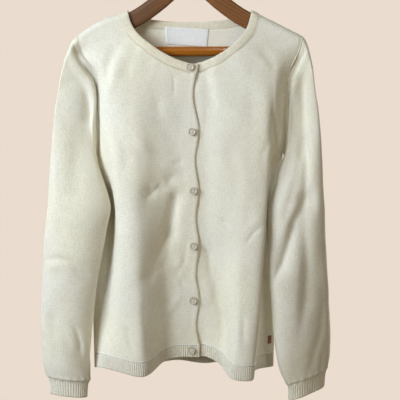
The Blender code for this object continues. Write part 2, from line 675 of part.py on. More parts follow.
def seam_room(side, count):
    """Room that the sleeve leaves at the armhole: more where the cloth turns sharply."""
    leaving = armhole(side, count, 1.0) - armhole(side, count, -1.0)
    leaving /= np.linalg.norm(leaving, axis=1, keepdims=True)
    begin = armhole_run(side, count)
    begin /= np.linalg.norm(begin, axis=1, keepdims=True)
    turn = np.arccos(np.clip((leaving * begin).sum(axis=1), -1, 1))
    table = np.array(SLEEVE_HEAD)
    room = smooth(table[:, 0], table[:, 5], np.arange(count) / count)
    return room + CLOTH * 0.6 * np.tan(np.minimum(turn, SHARPEST_TURN) / 2)


def ring(side, row, count):
    """A slanted oval ring of a sleeve, from its outer fold by the front."""
    height, x, y, seen_half, half_depth, slope, twist = row
    around = 2 * math.pi * np.arange(count) / count
    c, s = math.cos(math.radians(twist)), side * math.sin(math.radians(twist))
    half_width = math.sqrt(seen_half**2 - (half_depth * s) ** 2) / c
    along = side * half_width * np.cos(around)
    ahead = -half_depth * np.sin(around)
    offset = along * c - ahead * s
    return np.stack([x + offset, y + along * s + ahead * c, height + slope * offset], axis=1)


SLEEVE_AROUND = 200.0       # distance round a sleeve in its table of folds


def sleeve_points(side, rows, folds, count, cap_rows, arm_rows):
    """Grid of a sleeve: row 0 is the cuff seam, the last row the armhole."""
    table = np.array(rows, float)
    start = armhole(side, count)
    begin = armhole_run(side, count)
    upper = ring(side, table[0], count)
    below = ring(side, table[1], count)
    finish = (below - upper) / np.linalg.norm(below - upper, axis=1, keepdims=True)
    distance = np.linalg.norm(upper - start, axis=1, keepdims=True)
    cap = []
    for t in np.linspace(0, 1, cap_rows + 1)[:-1]:
        t = t**1.15
        cap.append((2 * t**3 - 3 * t**2 + 1) * start
                   + (t**3 - 2 * t**2 + t) * begin * distance
                   + (3 * t**2 - 2 * t**3) * upper
                   + (t**3 - t**2) * finish * distance * 0.85)
    heights = np.linspace(table[0, 0], table[-1, 0], arm_rows + 1)
    read = smooth(-table[:, 0], table, -heights)
    arm = [ring(side, row, count) for row in read]
    points = np.array(cap + arm)[::-1]
    normals = surface_normals(points, True) * -side
    way = np.broadcast_to(np.arange(count) / count, points.shape[:2])
    for (w0, z0), (w1, z1), width, most in folds:
        fold = (((w0 * SLEEVE_AROUND, z0), (w1 * SLEEVE_AROUND, z1), width, most),)
        depth = press_folds(way * SLEEVE_AROUND, points[..., 2], fold)
        points = points - normals * depth[..., None]
    return points


def build_sleeves(knit):
    for side, name, rows, folds in (
        (-1, "right", RIGHT_SLEEVE, RIGHT_SLEEVE_FOLDS),
        (1, "left", LEFT_SLEEVE, LEFT_SLEEVE_FOLDS),
    ):
        points = sleeve_points(side, rows, folds, 24, 9, 11)
        points = trimmed(points, SEAM_GAP)
        points = trimmed(points[::-1], seam_room(side, points.shape[1]))[::-1]
        wall(f"{name}_sleeve", points, knit, closed=True, flip=side > 0)
        build_cuff(f"{name}_cuff", side, rows[-1], knit)


def build_cuff(name, side, end_row, knit):
    """Ribbed cuff that hangs from the sleeve's end."""
    height, x, y, _, _, slope, twist = end_row
    columns = 2 * CUFF_RIBS
    rings = []
    for down, half_width, half_depth in CUFF_RINGS:
        row = (height - CUFF_GAP - CUFF_DEPTH * down, x, y, half_width, half_depth, slope, twist)
        rings.append(ring(side, row, columns))
    points = np.array(rings)[::-1]
    ribbed_wall(name, points, CUFF_INSIDE_STEP, knit, closed=True, flip=side > 0)


# ---------------------------------------------------------------- neckband

def band_part(panel, line, count, sign, end_past, levels):
    fine = neck_stations(line, count)
    direction = neck_inward(fine)
    if end_past:
        fine = np.concatenate([fine, [[-end_past, fine[-1, 1]]]])
        direction = np.concatenate([direction, direction[-1:]])
    rows = []
    for level in levels:
        flat = fine + direction * level
        rows.append(panel.hang(sign * flat[:, 0], flat[:, 1]))
    return np.array(rows)


def build_neckband(knit):
    """One strip: upper front end, right neck, back neck, left neck, lower front end."""
    levels = (NECK_GAP, NECKBAND_WIDTH * 0.5, NECKBAND_WIDTH)
    right = band_part(RIGHT, front_neckline, 13, 1, OVER_EDGE, levels)
    left = band_part(LEFT, front_neckline, 13, 1, UNDER_EDGE, levels)
    back_r = band_part(REAR, back_neckline, 10, -1, 0.0, levels)
    back_l = band_part(REAR, back_neckline, 10, 1, 0.0, levels)
    points = np.concatenate([
        right[:, ::-1][:, :-1], back_r[:, :-1], back_l[:, ::-1], left[:, 1:]], axis=1)
    wall("neckband", points, knit, thick=NECKBAND_WALL, flip=True)


# ---------------------------------------------------------------- small pieces

def turned(name, profile, sides, material, centre):
    """A solid turned about the Y axis from (radius, y) points, front first."""
    corners = [(0.0, profile[0][1], 0.0)]
    for radius, y in profile[1:-1]:
        for k in range(sides):
            angle = 2 * math.pi * k / sides
            corners.append((radius * math.cos(angle), y, radius * math.sin(angle)))
    corners.append((0.0, profile[-1][1], 0.0))
    final = len(corners) - 1
    rings = len(profile) - 2
    faces = []
    for k in range(sides):
        n = (k + 1) % sides
        faces.append((0, 1 + k, 1 + n))
        for r in range(rings - 1):
            a, b = 1 + r * sides, 1 + (r + 1) * sides
            faces.append((a + k, b + k, b + n, a + n))
        a = 1 + (rings - 1) * sides
        faces.append((final, a + n, a + k))
    piece = make_object(name, np.array(corners) + np.array(centre), faces, material, 35.0)
    return piece


def flat_height(height):
    """Height on the flat cut, at the button line, of a height in space."""
    lifted = RIGHT_HEM_LIFT[0] * np.clip(1 - (height - LEVELS[0]) / HEM_LIFT_FADE, 0, 1) ** 1.6
    return height - ROLL_TAKEN - lifted


def build_buttons(pearl):
    """Buttons, sewn through the holes of the upper front near its edge."""
    radius, thick = BUTTON_ACROSS / 2, BUTTON_THICK
    dish = 0.5
    profile = ((0, dish), (0.55 * radius, dish), (0.70 * radius, 0.0), (0.90 * radius, 0.3),
               (radius, 0.5 * thick), (0.8 * radius, thick), (0, thick))
    for k, height in enumerate(BUTTON_HEIGHTS):
        on_band = k == 0
        flat_z = height - ROLL_TAKEN if on_band else flat_height(height)
        wall_half = (NECKBAND_WALL if on_band else CLOTH + RIB_RELIEF * 2) / 2
        place = RIGHT.hang(np.array([0.0]), np.array([flat_z]))[0]
        centre = (BUTTON_X[k], place[1] - wall_half - BUTTON_STANDS - thick, height)
        turned(f"button_{k + 1}", profile, BUTTON_SIDES, pearl, centre)


# Patches: place on the flat cut and size of each, and their thickness.
LABEL_PLACE, LABEL_SIZE = (-4.0, -154.5), (62.0, 24.5)
TAB_PLACE, TAB_SIZE = (178.0, -598.0), (9.0, 12.0)
PATCH_THICK = 1.0
PATCH_STANDS = 0.7          # clear of the cloth


def patch_on(name, panel, centre, size, material, thick, away, steps):
    """A sewn-on patch made from a panel's own points, moved off its face."""
    across = np.linspace(centre[0] - size[0] / 2, centre[0] + size[0] / 2, steps[0] + 1)
    heights = np.linspace(centre[1] - size[1] / 2, centre[1] + size[1] / 2, steps[1] + 1)
    grid_x, grid_z = np.meshgrid(across, heights)
    points = panel.hang(grid_x, grid_z)
    normals = surface_normals(points)
    points = points + normals * away * (CLOTH / 2 + PATCH_STANDS + thick / 2)
    wall(name, points, material, thick=thick, flip=away < 0)


def build_patches(label, tab):
    patch_on("neck_label", REAR, LABEL_PLACE, LABEL_SIZE, label, PATCH_THICK, 1, (10, 4))
    patch_on("side_tab", LEFT, TAB_PLACE, TAB_SIZE, tab, PATCH_THICK, 1, (4, 4))


# ---------------------------------------------------------------- hanger

def arm_path(count):
    """Middle line of the arms from tip to tip, and the direction across it."""
    table = np.array(ARM_TOP, float)
    half = smooth(table[:, 0], table[:, 1:], np.linspace(0, table[-1, 0], 60))[:, 0]
    x = np.linspace(0, table[-1, 0], 60)
    x = np.concatenate([-x[::-1], x[1:]])
    z = np.concatenate([half[::-1], half[1:]])
    top = boundary(np.stack([x, z], axis=1), count)
    run = np.gradient(top, axis=0)
    run /= np.linalg.norm(run, axis=1, keepdims=True)
    down = np.stack([run[:, 1], -run[:, 0]], axis=1)
    return top + down * ARM_HEIGHT / 2, down


def build_arms(wood):
    """Both arms, one bent piece with rounded edges and rounded tips."""
    count = ARM_STATIONS
    path, down = arm_path(count)
    around = [2 * math.pi * (k + 0.5) / ARM_SIDES for k in range(ARM_SIDES)]
    shape = []
    for angle in around:
        c, s = math.cos(angle), math.sin(angle)
        shape.append((math.copysign(abs(c) ** ARM_ROUNDING, c),
                      math.copysign(abs(s) ** ARM_ROUNDING, s)))
    corners, faces = [], []
    for k in range(count):
        from_tip = min(k, count - 1 - k)
        size = ARM_TIP_SIZES[min(from_tip, 2)]
        for c, s in shape:
            offset = down[k] * (-s) * ARM_HEIGHT / 2 * size
            corners.append((path[k, 0] + offset[0], c * ARM_THICK / 2 * size, path[k, 1] + offset[1]))
    n = len(shape)
    for k in range(count - 1):
        for j in range(n):
            a, b = k * n + j, k * n + (j + 1) % n
            faces.append((a, a + n, b + n, b))
    faces.append(tuple(range(n)))
    faces.append(tuple((count - 1) * n + j for j in reversed(range(n))))
    arms = make_object("hanger_arms", corners, faces, wood, 60.0)
    cut(arms, "bar_socket", (0, 0, BAR_Z), BAR_ACROSS / 2 + SOCKET_ROOM,
        2 * (BAR_HALF + SOCKET_ROOM), "X")
    cut(arms, "hook_socket", (0, 0, ARM_TOP[0][1]), HOOK_WIRE / 2 + SOCKET_ROOM,
        2 * (SHANK_IN + 1), "Z")


def rod(name, centre, radius, length, axis, sides, material, bevel=0.0):
    """A round rod along X or Z, with its ends' edges taken off."""
    steps = [(-length / 2, radius - bevel), (-length / 2 + bevel, radius),
             (length / 2 - bevel, radius), (length / 2, radius - bevel)]
    if not bevel:
        steps = [(-length / 2, radius), (length / 2, radius)]
    corners, faces = [], []
    for along, r in steps:
        for k in range(sides):
            angle = 2 * math.pi * k / sides
            u, v = r * math.cos(angle), r * math.sin(angle)
            corners.append((along, u, v) if axis == "X" else (u, v, along))
    for s in range(len(steps) - 1):
        for k in range(sides):
            a, b = s * sides + k, s * sides + (k + 1) % sides
            faces.append((a, b, b + sides, a + sides))
    faces.append(tuple(reversed(range(sides))))
    faces.append(tuple((len(steps) - 1) * sides + k for k in range(sides)))
    return make_object(name, np.array(corners) + np.array(centre, float), faces, material, 40.0)


def cut(piece, name, centre, radius, length, axis):
    """Bores a round socket in a piece."""
    cutter = rod(name, centre, radius, length, axis, 24, piece.data.materials[0])
    cutter.hide_render = True
    cutter.display_type = "WIRE"
    bore = piece.modifiers.new(name, "BOOLEAN")
    bore.operation = "DIFFERENCE"
    bore.object = cutter


def build_hook(steel):
    """Wire hook: a straight shank, a bend to one side and a round loop over the top."""
    wire = HOOK_WIRE / 2
    radius = HOOK_RADIUS + wire
    centre_z = wire - radius
    points = []
    for k in range(27):
        angle = math.radians(205 - k * 10)
        points.append((radius * math.cos(angle), centre_z + radius * math.sin(angle)))
    bend = (points[-1], (radius * 0.36, centre_z - radius * 1.12), (0.0, centre_z - radius * 1.55),
            (0.0, ARM_TOP[0][1] - SHANK_IN))
    bend_way = boundary(bend, 40)
    middle = bend_way.copy()
    for _ in range(30):
        middle[1:-1] = (middle[:-2] + 2 * middle[1:-1] + middle[2:]) / 4
    points += [tuple(p) for p in middle[2::3]]
    curve = bpy.data.curves.new("hanger_hook", "CURVE")
    curve.dimensions = "3D"
    curve.bevel_depth = wire * METRES
    curve.bevel_resolution = 2
    curve.use_fill_caps = True
    spline = curve.splines.new("POLY")
    spline.points.add(len(points) - 1)
    for place, (x, z) in zip(spline.points, points):
        place.co = (x * METRES, 0.0, z * METRES, 1.0)
    curve.materials.append(steel)
    hook = bpy.data.objects.new("hanger_hook", curve)
    bpy.context.scene.collection.objects.link(hook)


def build_hanger(wood, varnished, steel):
    build_arms(wood)
    rod("hanger_bar", (0, 0, BAR_Z), BAR_ACROSS / 2, 2 * BAR_HALF, "X", 20, varnished, 1.5)
    build_hook(steel)


# ---------------------------------------------------------------- all of it

def make_materials():
    made = {}
    for name, (colour, roughness, metallic) in MATERIALS.items():
        material = bpy.data.materials.new(name)
        material.use_nodes = True
        shader = material.node_tree.nodes["Principled BSDF"]
        shader.inputs["Base Color"].default_value = (*colour, 1.0)
        shader.inputs["Roughness"].default_value = roughness
        shader.inputs["Metallic"].default_value = metallic
        material.diffuse_color = (*colour, 1.0)
        made[name] = material
    return made


def main():
    for leftover in list(bpy.data.objects):
        bpy.data.objects.remove(leftover, do_unlink=True)
    materials = make_materials()
    build_body(materials["knit"])
    build_hem(materials["knit"])
    build_sleeves(materials["knit"])
    build_neckband(materials["knit"])
    build_buttons(materials["button"])
    build_patches(materials["label"], materials["tab"])
    build_hanger(materials["wood"], materials["varnished_wood"], materials["steel"])


main()
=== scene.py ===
"""Looks for a fine-knit cardigan, buttoned up and hung on a wooden hanger.

Every cloth piece is hung from its flat cut by the same tables that gave the solids, with
finer folds, ribs and seams on top. Cloth is worked out in millimetres and made in metres.
"""
import math

import bpy
import numpy as np
from mathutils import Matrix, Vector


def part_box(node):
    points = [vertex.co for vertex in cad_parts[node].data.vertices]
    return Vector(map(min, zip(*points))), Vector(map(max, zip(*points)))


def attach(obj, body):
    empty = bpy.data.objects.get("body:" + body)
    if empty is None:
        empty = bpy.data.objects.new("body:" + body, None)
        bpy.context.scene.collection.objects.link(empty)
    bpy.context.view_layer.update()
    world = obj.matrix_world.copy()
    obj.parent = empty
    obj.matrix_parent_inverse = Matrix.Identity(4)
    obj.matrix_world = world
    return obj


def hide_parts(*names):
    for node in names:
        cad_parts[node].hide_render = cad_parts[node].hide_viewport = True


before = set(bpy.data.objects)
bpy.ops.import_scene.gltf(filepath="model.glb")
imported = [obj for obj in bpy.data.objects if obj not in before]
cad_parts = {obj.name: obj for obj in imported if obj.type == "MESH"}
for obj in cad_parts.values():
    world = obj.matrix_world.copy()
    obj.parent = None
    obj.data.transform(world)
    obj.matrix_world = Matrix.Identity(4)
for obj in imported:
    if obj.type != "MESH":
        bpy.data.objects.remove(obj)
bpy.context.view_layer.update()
METRES = 0.001

# Garment sizes
CLOTH = 1.5                 # wall of the knitted cloth
NECK_SEAM_X = 98.0          # half width of the neck hole at its seam
NECK_SEAM_Z = -119.0        # height of the shoulder seam at the neck
SHOULDER_X = 160.0          # half of the shoulder width
SHOULDER_SLOPE = 0.5        # drop of the shoulder seam for each millimetre outwards
BODY_LENGTH = 521.0         # neck seam to hem, along the cloth
HEM_RIB = 22.0
ARMHOLE_DEPTH = 172.0
CHEST_HALF = 186.0          # half of one front at the underarm, as cut
HEM_HALF = 190.0
ACROSS_HALF = 150.0         # narrowest half width between the armholes
FRONT_NECK_DROP = 86.0
BACK_NECK_DROP = 27.0
NECK_ROUNDNESS = 0.66       # 0.5 is an oval neckline; more draws it in towards the buttons
RIGHT_SHOULDER_RISE = 5.5   # the right shoulder stands off the hanger between neck and tip
RISE_FADE = 70.0            # distance below the shoulder in which that rise dies away
OVER_EDGE = 6.5             # the upper front's edge, past the button line
UNDER_EDGE = 11.0           # the lower front's edge, past the button line
LAP = 3.3                   # the lower front lies this far behind the upper one
LAP_FLAT = 8.0              # half width across which it lies that far behind
LAP_FADE = 30.0             # and the width in which it comes forward again
NECKBAND_WIDTH = 12.0
SHOULDER_ROLL = 8.2         # radius of the cloth over the hanger's arms
HANG_FADE = 55.0            # distance below the arms in which the cloth comes free of them

BUTTON_HEIGHTS = (-193.0, -284.0, -369.0, -449.5, -530.0, -605.0)
BUTTON_ACROSS = 10.4
BUTTON_THICK = 2.8
BUTTON_STANDS = 0.7         # clear of the cloth
SCALLOP = 2.2               # how far the front edge bows out at each button
SCALLOP_FADE = 26.0         # width of cloth that bows out with the edge
NECK_DRAW = 3.0             # how far the edge is drawn in at the neckband
NECK_DRAW_FADE = (-262.0, 55.0)   # height where that begins, and its length
BAY_DEPTHS = (6.6, 4.6, 4.2, 4.4, 4.4)   # how far it draws in between two buttons

RIB_PITCH = 3.0
CUFF_RIBS = 44

# Body sections. Each row is the height, then (x, y) of the named columns, in plan.
# Right front: centre, band, hollow, ridge, flank, tuck, seam.
RIGHT_FRONT = (
    (-640, (5, -8), (-14, -8), (-31, -5), (-70, -48), (-100, -40), (-128, -20), (-141, 4)),
    (-560, (5, -10), (-14, -10), (-32, -8), (-72, -45), (-100, -38), (-126, -10), (-143, 10)),
    (-480, (5, -13), (-14, -13), (-36, -13), (-74, -40), (-98, -36), (-118, -4), (-146, 14)),
    (-400, (5, -16), (-14, -16), (-36, -19), (-76, -37), (-97, -33), (-115, 1), (-147, 15)),
    (-345, (5, -18), (-14, -18), (-38, -22), (-78, -34), (-103, -30), (-121, -3), (-141, 12)),
    (-310, (5, -19), (-14, -19), (-40, -23), (-80, -32), (-108, -27), (-124, -9), (-133, 7)),
    (-260, (5, -20), (-14, -20), (-42, -24), (-82, -29), (-108, -25), (-122, -16), (-131, -5)),
    (-205, (5, -20), (-14, -20), (-42, -22), (-82, -24), (-108, -22), (-123, -17), (-133, -10)),
    (-170, (5, -18), (-14, -18), (-42, -18), (-82, -18), (-112, -16), (-132, -13), (-146, -10)),
    (-140, (5, -14), (-14, -14), (-42, -14), (-84, -13), (-114, -12), (-140, -10), (-161, -9)),
    (-90, (5, -11), (-14, -11), (-42, -11), (-84, -10), (-114, -10), (-140, -9), (-161, -9)),
)
# Left front, the same columns mirrored. LAP is added to y near the buttons.
LEFT_FRONT = (
    (-640, (5, -8), (24, -8), (40, -12), (64, -50), (86, -48), (94, -12), (124, 25)),
    (-560, (5, -10), (24, -10), (44, -14), (72, -43), (96, -41), (101, -8), (125, 22)),
    (-480, (5, -13), (24, -13), (46, -18), (76, -36), (103, -34), (104, -4), (128, 19)),
    (-400, (5, -16), (24, -16), (46, -22), (80, -31), (108, -29), (107, -3), (131, 16)),
    (-345, (5, -18), (24, -18), (46, -23), (83, -30), (113, -27), (114, -5), (132, 12)),
    (-310, (5, -19), (24, -19), (46, -24), (84, -29), (114, -26), (119, -9), (134, 6)),
    (-260, (5, -20), (24, -20), (46, -24), (84, -28), (114, -26), (122, -13), (136, -4)),
    (-205, (5, -20), (24, -20), (46, -22), (84, -24), (114, -22), (126, -14), (139, -9)),
    (-170, (5, -18), (24, -18), (46, -18), (84, -18), (112, -16), (133, -12), (147, -10)),
    (-140, (5, -14), (24, -14), (46, -14), (84, -13), (114, -12), (140, -10), (160, -9)),
    (-90, (5, -11), (24, -11), (46, -11), (84, -10), (114, -10), (140, -9), (160, -9)),
)
# Back, from the right side seam to the left one: seam, turn, five folds, turn, seam.
BACK = (
    (-640, (-141, 5), (-137, 24), (-104, 41), (-62, 25), (-20, 46), (22, 28), (64, 47),
     (104, 40), (125, 26)),
    (-560, (-143, 11), (-138, 26), (-104, 39), (-62, 26), (-20, 43), (22, 28), (64, 43),
     (104, 37), (126, 23)),
    (-480, (-146, 15), (-139, 28), (-104, 36), (-62, 27), (-20, 39), (22, 29), (64, 38),
     (106, 33), (129, 20)),
    (-400, (-147, 16), (-139, 27), (-104, 33), (-62, 27), (-20, 35), (22, 29), (64, 34),
     (108, 29), (132, 17)),
    (-345, (-141, 13), (-135, 24), (-104, 30), (-62, 27), (-20, 32), (22, 29), (64, 31),
     (106, 26), (133, 13)),
    (-310, (-133, 8), (-130, 19), (-104, 26), (-62, 26), (-20, 29), (22, 28), (64, 28),
     (106, 23), (135, 7)),
    (-260, (-131, 6), (-124, 15), (-104, 20), (-62, 22), (-20, 25), (22, 25), (64, 24),
     (106, 18), (136, 6)),
    (-205, (-134, 9), (-124, 13), (-104, 16), (-62, 18), (-20, 20), (22, 20), (64, 18),
     (108, 14), (139, 9)),
    (-170, (-146, 9), (-132, 11), (-104, 13), (-62, 14), (-20, 15), (22, 15), (64, 14),
     (116, 11), (147, 9)),
    (-140, (-161, 9), (-140, 9), (-104, 10), (-62, 12), (-20, 12), (22, 12), (64, 12),
     (116, 10), (160, 9)),
    (-90, (-161, 9), (-140, 9), (-104, 9), (-62, 10), (-20, 10), (22, 10), (64, 10),
     (116, 9), (160, 9)),
)
# How far each column of the fronts is held up at the hem; it fades out upwards.
RIGHT_HEM_LIFT = (20, 20, 16, 1, 6, 7, 1)
LEFT_HEM_LIFT = (20, 20, 14, -3, -5, 0, -4)
HEM_LIFT_FADE = 230.0
HEM_LIFT_POWER = 1.6

# Sleeve rings below the elbow bend: height, x and y of the centre, half width as seen from
# the front, half depth, slope of the ring (rise for each millimetre towards +X), and the
# degrees by which its front is turned outwards.
RIGHT_SLEEVE = (
    (-400, -160, -14, 45, 18, 0.0, 0),
    (-455, -169, -14, 42, 19, 0.0, 0),
    (-530, -177, -13, 38, 19, 0.0, 0),
    (-604, -181, -11, 35, 19, -0.03, 0),
    (-630, -181, -10, 34, 18, -0.08, 0),
    (-647, -179, -10, 31, 15, -0.12, 0),
)
LEFT_SLEEVE = (
    (-400, 153, -8, 41, 18, 0.0, 2),
    (-455, 155, -6, 43, 19, 0.0, 11),
    (-530, 161, -4, 43, 19, 0.0, 22),
    (-604, 167, -2, 41, 19, 0.06, 27),
    (-630, 170, 0, 37, 18, 0.18, 28),
    (-647, 173, 0, 31, 15, 0.28, 28),
)
# Way in which a sleeve leaves the armhole: way round (0 at the tip, 0.25 in front,
# 0.5 at the underarm), outward, backward, upward and reach.
SLEEVE_HEAD = (
    (0.00, 0.90, 0.00, -0.54, 0.47),
    (0.12, 0.70, 0.14, -0.62, 0.66),
    (0.25, 0.50, 0.34, -0.70, 0.86),
    (0.33, 0.58, 0.12, -0.62, 0.80),
    (0.42, 0.80, -0.40, -0.40, 0.60),
    (0.50, 0.80, -0.55, -0.35, 0.60),
    (0.58, 0.80, -0.40, -0.40, 0.60),
    (0.70, 0.56, -0.02, -0.68, 0.80),
    (0.85, 0.60, 0.06, -0.66, 0.74),
    (1.00, 0.90, 0.00, -0.54, 0.47),
)
# How far each sleeve stands out from the shoulder tip before it falls.
TIP_REACH = {-1: 1.0, 1: 0.6}
CUFF_DEPTH = 25.0
# Cuff rings: part of the way down, half width and half depth.
CUFF_RINGS = ((0.0, 29.0, 13.5), (0.35, 27.5, 12.5), (1.0, 26.0, 12.0))

# Large folds pressed into a piece: start and end as (across, height) of the flat cut,
# half width, depth.
RIGHT_FRONT_FOLDS = (
    ((28, -388), (40, -440), 10, 6.0),
    ((40, -440), (72, -492), 12, 5.0),
    ((66, -374), (38, -358), 10, 3.0),
)
LEFT_FRONT_FOLDS = (
    ((30, -470), (52, -600), 14, 3.5),
)
# Folds of a sleeve: start and end as (way round, height), half width, depth. The way
# round is 0 at the outside, 0.25 in front, 0.5 inside.
RIGHT_SLEEVE_FOLDS = (
    ((0.10, -176), (0.24, -262), 10, 4.5),
    ((0.16, -560), (0.40, -620), 12, 3.5),
)
LEFT_SLEEVE_FOLDS = (
    ((0.10, -190), (0.21, -312), 9, 3.0),
    ((0.18, -300), (0.20, -381), 10, 3.5),
    ((0.20, -381), (0.36, -474), 11, 4.5),
    ((0.20, -390), (0.25, -527), 11, 3.0),
)

ARM_TOP_Z = -60.0           # top of the hanger's arms in the middle


# ---------------------------------------------------------------- curves

def hermite(t, start, leaving, end, arriving):
    """Cubic between two points, by the way it leaves the one and arrives at the other."""
    return ((2 * t**3 - 3 * t**2 + 1) * start + (t**3 - 2 * t**2 + t) * leaving
            + (3 * t**2 - 2 * t**3) * end + (t**3 - t**2) * arriving)


def smooth(knots, values, wanted):
    """Cubic curve through the values at the knots, read at the wanted places."""
    knots = np.asarray(knots, float)
    values = np.asarray(values, float)
    wanted = np.clip(np.asarray(wanted, float), knots[0], knots[-1])
    slopes = np.gradient(values, knots, axis=0)
    k = np.clip(np.searchsorted(knots, wanted, side="right") - 1, 0, len(knots) - 2)
    span = (knots[k + 1] - knots[k])[..., None]
    t = (wanted - knots[k])[..., None] / span
    flat = values.reshape(len(knots), -1)
    turn = slopes.reshape(len(knots), -1)
    found = hermite(t, flat[k], span * turn[k], flat[k + 1], span * turn[k + 1])
    return found.reshape(wanted.shape + values.shape[1:])


def ease(t):
    """Smooth step from 0 to 1."""
    t = np.clip(t, 0.0, 1.0)
    return t * t * (3 - 2 * t)


def bell(distance, width):
    """Soft bump: 1 in the middle, dying away over a width."""
    return np.exp(-((distance / width) ** 2))


def between(height, low, low_fade, high, high_fade):
    """1 between two heights, easing in over the length given with each."""
    return ease((height - low) / low_fade) * ease((high - height) / high_fade)


def unit(vectors):
    return vectors / np.maximum(np.linalg.norm(vectors, axis=-1, keepdims=True), 1e-9)


def way_along(points):
    """Distance of each point of a line from its start."""
    run = np.linalg.norm(np.diff(points, axis=0), axis=1)
    return np.concatenate([[0.0], np.cumsum(run)])


def read_along(points, way, wanted):
    """A line read at wanted distances; way is the distance of each of its points."""
    return np.stack([np.interp(wanted, way, column) for column in points.T], axis=1)


def evenly(points, count):
    """Points evenly spaced along a line."""
    way = way_along(points)
    return read_along(points, way, np.linspace(0, way[-1], count))


LEVELS = np.linspace(-640.0, -90.0, 221)
STEPS = 161                 # points across each section


def section_sheet(rows, hem_lift=None):
    """Every section of a table, as points evenly spaced along it at each level."""
    heights = [row[0] for row in rows]
    columns = np.array([row[1:] for row in rows], float)
    controls = smooth(heights, columns, LEVELS)
    lift = np.zeros(controls.shape[:2] + (1,))
    if hem_lift is not None:
        fade = np.clip(1 - (LEVELS - LEVELS[0]) / HEM_LIFT_FADE, 0, 1) ** HEM_LIFT_POWER
        lift[:, :, 0] = fade[:, None] * np.array(hem_lift, float)[None, :]
    controls = np.concatenate([controls, lift], axis=2)
    sheet = np.empty((len(LEVELS), STEPS, 3))
    for i, points in enumerate(controls):
        knots = way_along(points[:, :2])
        fine = smooth(knots, points, np.linspace(0, knots[-1], 400))
        way = way_along(fine[:, :2])
        sheet[i] = read_along(fine, way, np.linspace(0, way[-1], STEPS))
    return sheet


def read_sheet(sheet, part, height):
    """Point of a sheet at a part of the way across (0 to 1, or a little outside)."""
    place = np.clip(np.interp(height, LEVELS, np.arange(len(LEVELS))), 0, len(LEVELS) - 1.001)
    row = place.astype(int)
    up = (place - row)[..., None]
    across = part * (STEPS - 1)
    column = np.clip(np.floor(across).astype(int), 0, STEPS - 2)
    along = (across - column)[..., None]
    low = sheet[row, column] * (1 - along) + sheet[row, column + 1] * along
    high = sheet[row + 1, column] * (1 - along) + sheet[row + 1, column + 1] * along
    return low * (1 - up) + high * up


# ---------------------------------------------------------------- the flat cut

ROLL_TAKEN = SHOULDER_ROLL * (math.pi / 2 - 1)
HEM_Z = NECK_SEAM_Z - BODY_LENGTH
RIB_TOP_Z = HEM_Z + HEM_RIB
TIP_Z = NECK_SEAM_Z - (SHOULDER_X - NECK_SEAM_X) * SHOULDER_SLOPE
UNDERARM_Z = TIP_Z - ARMHOLE_DEPTH
ARMHOLE_CURVE = 0.38        # part of the armhole's height taken by its lower curve
ARMHOLE_ROUND = (2.2, 1.8)  # how late its lower and its upper curve set in


def edge_half(height):
    """Half width of the flat cut at a height: side seam below, armhole above."""
    height = np.asarray(height, float)
    side = HEM_HALF + (CHEST_HALF - HEM_HALF) * ease((height - HEM_Z) / (UNDERARM_Z - HEM_Z))
    rise = (height - UNDERARM_Z) / (TIP_Z - UNDERARM_Z)
    low = np.clip(1 - rise / ARMHOLE_CURVE, 0, 1)
    high = np.clip((rise - ARMHOLE_CURVE) / (1 - ARMHOLE_CURVE), 0, 1)
    arm = (ACROSS_HALF + (CHEST_HALF - ACROSS_HALF) * low ** ARMHOLE_ROUND[0]
           + (SHOULDER_X - ACROSS_HALF) * high ** ARMHOLE_ROUND[1])
    return np.where(height < UNDERARM_Z, side, arm)


def shoulder_height(across):
    return NECK_SEAM_Z - (np.abs(across) - NECK_SEAM_X) * SHOULDER_SLOPE


def front_neckline(t):
    """Neck seam of a front from the neck point (0) to the button line (1)."""
    across = NECK_SEAM_X * np.clip(1 - t**2, 0, 1) ** NECK_ROUNDNESS
    return across, NECK_SEAM_Z - FRONT_NECK_DROP * t


def back_neckline(t):
    """Neck seam of the back from the neck point (0) to the middle (1)."""
    angle = t * math.pi / 2
    across = NECK_SEAM_X * np.cos(angle)
    return across, NECK_SEAM_Z - BACK_NECK_DROP * np.sin(angle) ** 0.8


# ---------------------------------------------------------------- hanging the cloth

def press_folds(across, height, folds):
    """Depth of a panel's pressed folds at a point of its flat cut."""
    depth = np.zeros_like(across)
    for (x0, z0), (x1, z1), width, most in folds:
        run = np.array([x1 - x0, z1 - z0], float)
        long = np.linalg.norm(run)
        along = ((across - x0) * run[0] + (height - z0) * run[1]) / long
        beside = ((across - x0) * run[1] - (height - z0) * run[0]) / long
        past = np.maximum(np.maximum(-along, along - long), 0)
        depth += most * bell(beside, width) * bell(past, 1.5 * width)
    return depth


